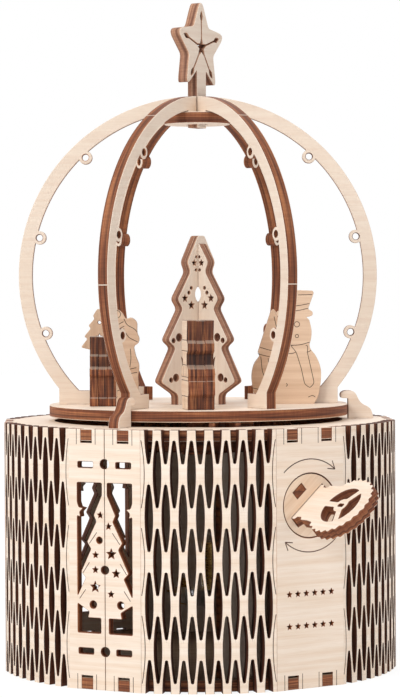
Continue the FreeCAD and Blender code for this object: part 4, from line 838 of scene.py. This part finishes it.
ARCH_AZIMUTHS = [REST - 30 + 60 * index for index in range(6)]
arch_slot = rectangle(0, (TENON_IN + TENON_OUT) / 2, SLOT, TENON_OUT - TENON_IN + 0.2)
table_slots = [on_plan(azimuth, arch_slot) for azimuth in ARCH_AZIMUTHS]
table_slots += [on_plan(REST + turn, rectangle(0, side * 9.4, SLOT, 5.2))
                for turn in (-45, 45) for side in (-1, 1)]
plate("turntable", "turntable", [circle(TABLE, step=1.2), circle(3.02)] + table_slots,
      level(TABLE_TOP - PLY), WOOD, ("turntable_disc",), rim=0.22)


def arch_loops():
    """Half a ring with foot and tenon; each eyelet is a circle that grows out of it.

    An eyelet's circle meets the inner edge 2.11 degrees each side of its elevation,
    which is 66.4 degrees each side of outward, seen from the eyelet's own middle.
    """
    def ring(radius, start, end):
        """A stretch of the arch's edge from one elevation to another."""
        return arc(radius, start, end, 0, ARCH_UP, 1.3)

    start = degrees(asin((RISE - ARCH_UP) / ARCH_OUT))
    above = degrees(acos(HUB_SEAT / ARCH_IN))
    foot = degrees(asin((FOOT_HIGH - ARCH_UP) / ARCH_IN))
    seat = HUB_TOP - TABLE_TOP
    runs = [[(FOOT_IN, 0), *tenon(TENON_IN, TENON_OUT), (FOOT_OUT, 0)],
            ring(ARCH_OUT, start, degrees(acos(ARCH_END / ARCH_OUT))),
            [(ARCH_END, seat), (HUB_SEAT, seat)]]
    holes = []
    for elevation in (46.7, 13.7, -20.5):
        middle = polar(58.4, elevation, 0, ARCH_UP)
        runs += [ring(ARCH_IN, above, elevation + 2.11),
                 arc(2.4, elevation + 66.4, elevation + 293.6, *middle, 0.5)[1:-1]]
        holes.append(circle(1.2, *middle))
        above = elevation - 2.11
    return [join(*runs, ring(ARCH_IN, above, foot), [(FOOT_IN, FOOT_HIGH)])] + holes


arch_shape = arch_loops()
for index, azimuth in enumerate(ARCH_AZIMUTHS):
    arch = Shape()
    where = radial(azimuth)
    arch.slab(arch_shape, PLY, where)
    # Two pale patches on the burnt outer edge.
    for elevation in (-3, 60):
        x, z = polar(1, elevation)
        out, run = np.array([(x, z, 0), (-z, x, 0)])
        corner = out * (ARCH_OUT - 0.2) + (0, ARCH_UP, 0.2)
        arch.patch(where[0] + corner @ where[1:], 0.3 * run @ where[1:], 3.6 * where[3],
                   0.22 * out @ where[1:])
    shape(f"dome_arch_{index + 1}", "turntable", arch, (veneer_grey, edge_brown),
          (f"arch_{index + 1}",))

plate("dome_hub", "turntable", [circle(11.75), on_plan(REST + 60, rectangle(0, 0, SLOT, 6.6))],
      level(HUB_TOP - PLY), WOOD, ("hub_disc",))


def star_loops():
    """A fat star with round noses on a stem through the hub, and the cuts in it.

    The cut is a small star, with a drop on the way to each tip and a thin slit between.
    """
    rise, half = 23.6, 3.2
    body = star(18.15, 8.9, 0, rise)
    stem = rise - sqrt(8.9 ** 2 - half ** 2)
    low = -PLY - 1.2
    body = join(body[:5], [(-half, stem), (-half, low), (half, low), (half, stem)], body[6:])
    noses = [4.9, 1.2, 4.9, 1.2, 4.9, 0.4, 0, 0, 0.4, 4.9, 1.2, 4.9, 1.2]
    drop = np.array([(3.3, 0.2), (9.4, 0.2), (10.2, 0.6), (11.1, 0.85), (12.2, 0.5), (12.9, 0)])
    drop = join(drop * (1, -1), drop[-2::-1])
    cut = []
    for angle in range(90, 450, 72):
        x, y = polar(1, angle)
        cut += [drop @ np.array([(x, y), (-y, x)]), [polar(1.5, angle + 36)]]
    return [soften(body, noses, 6), join(*cut) + (0, rise)]


plate("finial_star", "turntable", star_loops(), radial(REST - 30, 0, HUB_TOP), GREY_WOOD,
      ("star",), rim=0.16)


# ---- the trees

FIR = [(11.9, 3.6), (20.3, 8.3), (13.1, 20.3), (16.7, 23), (9.4, 34.1), (12, 37.6),
       (5.35, 47.3), (7, 50.8), (1.6, 60.3)]
# Cuts in one half: x, height, and radius or tip and valley.
FIR_STARS = [(3.75, 50.5, 1.25, 0.55), (8.5, 37.9, 1.45, 0.6), (5.3, 35.4, 1.55, 0.65)]
FIR_DOTS = [(2.9, 48, 0.45), (2.75, 52.7, 0.4), (5.3, 41.6, 0.55), (6.5, 39.9, 0.6),
            (11.6, 24, 1.35), (14.3, 22.9, 0.8), (13.2, 9.7, 1.3), (15.6, 8.9, 0.8)]


def fir_cuts(side):
    """The stars, dots and curved slits in one half of a tree plate."""
    bow = np.linspace(-1, 1, 9)
    outer, inner = (rows_of(10.6 - deep * (1 - bow ** 2), 13.8 + 3.4 * bow)
                    for deep in (1.4, 0.75))
    return punched(FIR_STARS, FIR_DOTS, side) + [join(outer, inner[-2:0:-1]) * (side, 1)]


def tree_plate(name, turn, slot_up):
    """One of the two crossed plates; slot_up is true for the one slotted from below."""
    half, lap, eye = SLOT / 2, 27.1, 39.3
    if slot_up:
        side = [(half, lap), (half, 0)] + tenon(6.9, 11.9) + FIR
        radius = [0] * 6 + [1.3] * (len(FIR) - 1) + [0.8]
        holes = [circle(3.3, 0, eye)]
    else:
        mouth = arc(3.3, 50.5, -50.5, 0, eye, 0.4).tolist()
        side = tenon(6.9, 11.9) + FIR[:-1] + [(2.6, 57.3), (half, 57.3)] + mouth
        side += [(half, lap)]
        radius = [0] * 4 + [1.3] * (len(FIR) - 1) + [0.3, 0.2] + [0] * (len(mouth) + 1)
        holes = []
    loop = soften(mirror(side), radius + radius[::-1])
    plate("fir_plate_" + name, "turntable", [loop] + holes + fir_cuts(1) + fir_cuts(-1),
          radial(REST + turn), GREY_WOOD, ("tree_plate_" + name,), upright=True)


tree_plate("left", -45, True)
tree_plate("right", 45, False)


# ---- the figures


def draw(made, lines, where, thick):
    """Lines burnt into both faces of a plate."""
    behind = where * [[1], [-1], [1], [-1]]
    for path in lines:
        path = np.asarray(path, float)
        made.stroke(path, 0.22, where, thick)
        made.stroke(path * (-1, 1), 0.22, behind, 0)


def figure(name, loops, lines, where, replaced, thick=PLY, upright=False):
    """A figure: one plate and the lines burnt into both its faces."""
    made = Shape()
    made.slab(loops, thick, where, 0.16, upright)
    draw(made, lines, where, thick)
    shape(name, "turntable", made, (veneer_rose, edge_brown, burnt_line), (replaced,))


def layered(name, side, lines, spot, replaced):
    """Three glued layers of one outline; the middle one is a little smaller."""
    loop = soften(mirror(side), 0.5, 3)
    middle, pair = Shape(), Shape()
    middle.slab([loop * (0.985, 0.995)], LAYER, standing(*spot, LAYER), 0.12, stacked=LAYER)
    for sign in (-1, 1):
        where = standing(*spot, LAYER, sign * LAYER)
        pair.slab([loop], LAYER, where, 0.16, stacked=LAYER * (1 + sign))
        draw(pair, lines, where, LAYER)
    finishes = (veneer_warm, edge_stepped, burnt_line)
    shape(name + "_middle", "turntable", middle, finishes[:2], (replaced + "_core",))
    shape(name + "_outer", "turntable", pair, finishes, (replaced + "_faces",))


def curve(*points):
    """A smooth line through points: a Catmull-Rom curve of five steps between two."""
    points = np.array(points, float)
    padded = join(2 * points[:1] - points[1:2], points, 2 * points[-1:] - points[-2:-1])
    t = np.linspace(0, 1, 5, endpoint=False)[:, None, None]
    a, b, c, d = padded[:-3], padded[1:-2], padded[2:-1], padded[3:]
    line = 0.5 * (2 * b + (c - a) * t + (2 * a - 5 * b + 4 * c - d) * t ** 2
                  + (3 * b - a - 3 * c + d) * t ** 3)
    return join(line.transpose(1, 0, 2).reshape(-1, 2), points[-1:])


def ring_line(radius, x, y):
    """A circle as a line that ends where it starts."""
    return arc(radius, 0, 360, x, y, 0.4)


snow_hat = [(5, 31), (6.6, 31.6), (6.6, 32.9), (4.9, 33.8), (7, 39.6), (6.6, 40.4),
            (-2.4, 40.8), (-2.9, 40.2), (-4.6, 33.7), (-6.5, 32.9), (-6.6, 31.6), (-4.8, 31.2)]
snow_outline = join(
    curve((6.9, 0), (8.2, 2.2), (9.1, 6), (9.5, 10.6), (9, 14), (7.5, 17.3), (6, 19.2)),
    [(5.5, 20.2)], curve((5.4, 21.3), (6, 23.6), (6.1, 26.4), (5.4, 29.8)),
    soften(snow_hat, 0.7, 3), curve((-5, 29.9), (-5.9, 27), (-6, 24), (-5.4, 21.6)),
    [(-5.4, 20.4)], curve((-5.8, 19.2), (-7.4, 17.3), (-9, 14), (-9.6, 10.6), (-9.1, 6),
                          (-8.2, 2.2), (-6.9, 0)))
snow_lines = [
    curve((-5.4, 21.9), (-2, 21), (2, 21.1), (5.4, 22)),
    curve((-5.8, 19.4), (-3.8, 18.2), (-1, 18), (0.4, 18.4)),
    curve((4.4, 18.4), (5.3, 18.7), (5.9, 19.2)),
    soften([(-1.4, 20.9), (0.6, 18.5), (2.4, 12.6), (3.6, 7), (5.5, 5.6), (7, 7.4),
            (5.9, 12.5), (4.6, 18.3), (4.8, 20.9)], 0.8, 3),
    curve((-4.6, 33.9), (0.2, 33.2), (4.9, 34.1)), curve((-4.2, 35.6), (0.4, 35), (5.4, 35.8)),
    [(1.4, 38.9), (6.4, 39)], ring_line(0.95, 0.9, 28.4), ring_line(0.6, 0.9, 24.2),
    ring_line(0.5, -3, 28.6), curve((-3, 7.4), (-2.6, 6.8), (-3, 6.2)),
    curve((4.9, 2.4), (6.3, 2.9), (7.4, 2.4))]
figure("snowman_figure", [snow_outline], snow_lines, standing(90, 19.1, lift=PLY), "snowman")

santa_outline = soften([
    (5.8, 0), (5.6, 3), (6.3, 6.5), (5.9, 9.4), (6.4, 11.6), (6.4, 14), (5.3, 16.4),
    (4.4, 20.4), (6.3, 21.5), (6.6, 23.4), (5.7, 25.2), (5.8, 29.4), (3.6, 31.1), (1.6, 30.2),
    (0.6, 32.4), (-0.9, 33.8), (-2.5, 33.8), (-3.7, 32.4), (-4.2, 29.4), (-4.6, 26),
    (-6.4, 22), (-7, 17), (-6.6, 12.2), (-6.8, 6.8), (-5.9, 3.4), (-6.2, 0)], 1.3, 3)
santa_lines = [
    curve((-4.3, 29.2), (-1.9, 28.2), (0.8, 29.4)), curve((-4.2, 27.6), (-1.9, 26.4), (1, 27.7)),
    curve((-3.9, 26.6), (-3.2, 22.4), (-1.4, 20.6), (0.4, 22.6), (0.9, 27)),
    curve((0.9, 30.4), (2.2, 28.2), (4.6, 26.8), (5.7, 25.6)),
    curve((1, 26.2), (2.6, 23.8), (4.6, 22.6), (5.8, 22)),
    curve((-6.4, 12.6), (-1, 11.4), (5.4, 12.6)), curve((-6.4, 10.9), (-1, 9.8), (5.6, 10.9)),
    curve((-0.6, 20.4), (-0.5, 14), (-0.7, 4.6)),
    curve((-6.2, 4.2), (-3, 3.6), (-0.6, 4.4), (2.6, 3.6), (5.6, 4.3)),
    ring_line(0.4, -3, 25.4), ring_line(0.4, -0.4, 25.4), ring_line(1.4, -1.7, 32.1),
    curve((3.2, 19.5), (3.4, 16), (3, 12.8))]
figure("santa_figure", [santa_outline], santa_lines, standing(-118, 21.8, 208), "santa")

gnome_side = curve((5.6, 0), (7.2, 3.6), (8, 8.8), (7.2, 13.4), (5.2, 16.4))
gnome_cap = soften([(5.8, 17.6), (0.9, 33), (0, 33.9), (-0.9, 33), (-5.8, 17.6)], 0.7, 3)
gnome_lines = [
    curve((-5.6, 17.4), (0, 16.2), (5.6, 17.4)), curve((-4.9, 19.8), (0, 18.6), (4.9, 19.8)),
    curve((-4.6, 16.4), (-3.6, 9.8), (0, 6.2), (3.6, 9.8), (4.6, 16.4)),
    curve((-1.9, 15.8), (-1.5, 11.5), (-0.4, 8)), curve((1.9, 15.8), (1.5, 11.5), (0.4, 8)),
    ring_line(1.3, 0, 15.4), curve((-7.6, 5), (0, 3.4), (7.6, 5)),
    curve((3.4, 20.6), (1.5, 26), (0.3, 31))]
figure("gnome_figure", [join(gnome_side, gnome_cap, gnome_side[::-1] * (-1, 1))], gnome_lines,
       standing(118, 22.5, -28), "gnome")


def across(half, height):
    """A level line over the width of a figure."""
    return [(-half, height), (half, height)]


soldier_side = [
    (5.7, 0), (5.9, 4.4), (7.2, 5.2), (7.1, 9.6), (6.6, 10), (6.6, 11.2), (7, 11.6), (6.6, 14),
    (4, 15.3), (4, 18.9), (6.1, 20.1), (6.1, 22.6), (4.4, 23.8), (5.4, 30.6)]
soldier_lines = [across(6.6, 10), across(6.6, 11.2), across(6.1, 20.1), across(4.4, 23.8),
                 across(4, 15.3), [(0, 0), (0, 5)], [(-3, 15), (-2.6, 11.4)],
                 [(3, 15), (2.6, 11.4)], across(5.9, 4.6)]
layered("soldier", soldier_side, soldier_lines, (0, 10.5, 10), "toy_soldier")
gift_side = [(7, 0), (7, 2.9), (6, 3.1), (6, 10.2), (6.9, 10.9), (6.9, 13.2), (4.2, 13.9),
             (4.6, 17.6), (3.1, 18.3), (3.5, 24.6)]
gift_lines = [across(7, 2.9), across(6.9, 10.8), across(6.9, 13.2), across(4.6, 17.8),
              [(0, 3.1), (0, 10.8)], [(0, 13.9), (0, 17.7)]]
layered("gifts", gift_side, gift_lines, (-69, 17.5, 69), "gift_stack")
sapling = [(2.5, 0), (2.5, 18.7), (6.9, 19.8), (4.45, 23), (5.7, 23.8), (3.2, 26.8),
           (4.1, 27.8), (1.8, 30.4), (2.4, 31.4), (0.8, 34)]
figure("sapling", [soften(mirror(sapling), 0.8), circle(0.6, 0, 29), star(1.3, 0.55, 0, 23.6),
                   circle(0.6, -2.8, 20.9), circle(0.6, 2.8, 20.9)],
       [], standing(-125, 9, 35, LAYER), "small_tree", LAYER, True)


# ---- the winding key

out = outward(KEY_AZIMUTH)
tilt = radians(41)
along_key = sideways(KEY_AZIMUTH) * cos(tilt) + UP * sin(tilt)
thickness = np.cross(out, along_key)


def bow_loops():
    """The key seen flat: a neck and a round bow whose edge is a wave of 26 crests."""
    limit = 180 - degrees(asin(KEY_NECK / 12.1))
    turn = np.linspace(-limit, limit, 190)
    bow = polar(12.08 + 0.4 * np.cos(26 * np.radians(turn)), turn, KEY_REACH)
    low = np.array([(-4, -1.9), (-8, -1.9), (-8, -KEY_NECK), (1.2, -KEY_NECK), (1.9, -7.1),
                    (4.2, -7.1), (4.9, -KEY_NECK), (8.6, -KEY_NECK)])
    holes = []
    for middle in (0, 120, 240):
        far, near = (60 - degrees(1.3 / radius) for radius in (7.7, 3.1))
        sector = join(arc(7.7, middle - far, middle + far, KEY_REACH),
                      arc(3.1, middle + near, middle - near, KEY_REACH))
        holes.append(soften(sector, 0.3, 2))
    return [join(low, bow, low[::-1] * (1, -1))] + holes + [
        soften(rectangle(KEY_REACH, 0, 2.6, 1.2), 0.5, 3)]


plate("winding_key", "key", bow_loops(),
      place(out * PANEL_OUT + UP * KEY_HEIGHT - thickness * PLY / 2, out, along_key), WOOD,
      ("key_bow",), rim=0.2)
plate("key_plate", "key", [circle(10.7, step=0.6), rectangle(0, 0, 16.6, SLOT)]
      + [rectangle(0, side * 6.7, 4.6, 2.8) for side in (-1, 1)],
      place(out * (PANEL_OUT - PLY) + UP * KEY_HEIGHT, along_key, thickness),
      (veneer_warm, edge_brown), ("key_disc",))


# ---- the movement


def pins(rows, turns):
    """Four-sided spikes on the drum, each from its four root corners to its tip."""
    out = on_drum(1, turns, 0)
    side = on_drum(1, turns + pi / 2, 0) * 0.16
    root = out * 6.3 + rows[:, None] * UP
    corners = [root + a * side + b * 0.16 * UP for a, b in ((-1, -1), (1, -1), (1, 1), (-1, 1))]
    points = np.stack(corners + [root + out * 0.3], 1)
    faces = np.array([(0, 1, 4), (1, 2, 4), (2, 3, 4), (3, 0, 4)])
    return points.reshape(-1, 3), join(*(faces + 5 * k for k in range(len(rows))))


drum = Shape()
on_arbor = level(0, *on_plan(KEY_AZIMUTH, ARBOR))
drum.turned([(1.22, 31.5), (6, 31.5), (6.35, 31.75), (6.35, 47.75), (6, 48), (1.22, 48)],
            on_arbor)
rows = np.repeat(32.2 + 0.885 * np.arange(18), 13)
turns = np.random.default_rng(5).uniform(0, 2 * pi, len(rows))
spikes, faces = pins(rows, turns + pi / 2)
# The pins take the second finish, steel.
drum.add(spikes + on_arbor[0], spikes + on_arbor[0], faces, 1)
shape("pin_drum", "cylinder", drum, (brass, steel), ("pinned_cylinder",), 50)

housing = Shape()
housing.turned([(1.86, 14), (1.86, 0.4), (4.2, 0.4), (4.5, 0.9), (10.6, 0.9), (11, 0),
                (12.2, 0), (13, 0.9), (13, 14), (1.86, 14)],
               facing(KEY_AZIMUTH, PANEL_IN - 28.85, 0, KEY_HEIGHT), 64)
shape("spring_drum", "base", housing, (brass,), ("spring_housing",), 40)


WORM_LONG = 6.0
WORM_PITCH = 1.4


def thread(angle, height):
    """A worm's thread: the radius follows the sine of the height less the turn."""
    inside = (height > 0.05) & (height < WORM_LONG - 0.05)
    return np.where(inside, 0.34 * np.sin(height * 2 * pi / WORM_PITCH - angle), 0.0)


worm = Shape()
worm_where = facing(KEY_AZIMUTH, ARBOR[1] - 3, ARBOR[0] - 9.7, 30.8)
worm.turned(join([(0.6, 0), (1.2, 0)], rows_of(1.33, np.linspace(0.1, WORM_LONG - 0.1, 50)),
                 [(1.2, WORM_LONG), (0.6, WORM_LONG)]), worm_where, 24, thread)
worm.turned([(0.02, -8.6), (0.58, -8.6), (0.58, 9.3), (0.02, 9.3)], worm_where, 12)
shape("governor_screw", "governor", worm, (steel,), ("governor_worm",), 50)


# ---- room and camera


def look_from(spot, target, roll=0.0):
    """The turn of a camera or lamp at a spot that looks at a target."""
    turn = (Vector(target) - Vector(spot)).to_track_quat("-Z", "Y").to_euler()
    turn.rotate_axis("Z", radians(roll))
    return turn


lens = bpy.data.cameras.new("camera")
lens.lens = 130.9
lens.sensor_width = 36
lens.clip_end = 50
camera = put("camera", lens)
camera.location = (-0.0432, -0.9115, 0.1359)
camera.rotation_euler = look_from(camera.location, (0.00064, 0.0, 0.1133), -0.29)
scene.camera = camera


def lamp(name, spot, height, size, power, green, blue):
    """A square soft lamp that looks at a height on the axis; its red is 1."""
    data = bpy.data.lights.new(name, "AREA")
    data.size = size
    data.energy = power
    data.color = (1.0, green, blue)
    made = put(name, data)
    made.location = spot
    made.rotation_euler = look_from(spot, (0, 0, height))


lamp("key_lamp", (-1.1, -1.3, 1.25), 0.1, 0.9, 18.5, 0.975, 0.94)
lamp("fill_lamp", (1.5, -1.2, 0.6), 0.1, 1.2, 3.6, 0.97, 0.95)
lamp("top_lamp", (0.1, -0.2, 1.7), 0.1, 1.2, 4.5, 0.98, 0.96)
lamp("back_lamp", (0.4, 1.6, 1.2), 0.12, 1.0, 8.0, 0.98, 0.96)


def seen_directly(tree):
    """One for rays from the camera, from gloss and through glass, else nothing."""
    path = node(tree, "LightPath").node.outputs
    one = number(tree, "MAXIMUM", path["Is Camera Ray"], path["Is Glossy Ray"])
    return number(tree, "MAXIMUM", one, path["Is Transmission Ray"])


def surface(tree, kind, one, two, share):
    """Ends the nodes of a world or a material in a mix of two shaders."""
    mix = node(tree, "MixShader", {0: share, 1: one, 2: two})
    tree.links.new(mix, tree.nodes.new(kind).inputs["Surface"])


def emptied(data):
    """The node tree of a world or a material, without nodes."""
    data.use_nodes = True
    data.node_tree.nodes.clear()
    return data.node_tree


scene.world = bpy.data.worlds.new("studio")
room = emptied(scene.world)
soft = node(room, "Background", {"Color": (1.0, 0.97, 0.95, 1), "Strength": 0.55})
white = node(room, "Background", {"Color": (1, 1, 1, 1), "Strength": 1.0})
surface(room, "ShaderNodeOutputWorld", soft, white, seen_directly(room))

table_top = bpy.data.meshes.new("table_top")
table_top.from_pydata([(-3, -3, 0), (3, -3, 0), (3, 3, 0), (-3, 3, 0)], [], [(0, 1, 2, 3)])
floor = put("table_top", table_top)
paper = bpy.data.materials.new("white_paper")
tree = emptied(paper)
matt = node(tree, "BsdfDiffuse", {"Color": (0.9, 0.9, 0.9, 1)})
glow = node(tree, "Emission", {"Color": (1, 1, 1, 1), "Strength": 1.07})
reach = node(tree, "VectorMath", {0: node(tree, "TexCoord", out="Object")}, "Value",
             operation="LENGTH")
far = node(tree, "MapRange", {"Value": reach, "From Min": 0.4, "From Max": 1.0,
                              "To Min": 0.82, "To Max": 0.935})
surface(tree, "ShaderNodeOutputMaterial", matt, glow,
        number(tree, "MULTIPLY", seen_directly(tree), far))
table_top.materials.append(paper)

scene.view_settings.view_transform = "Standard"
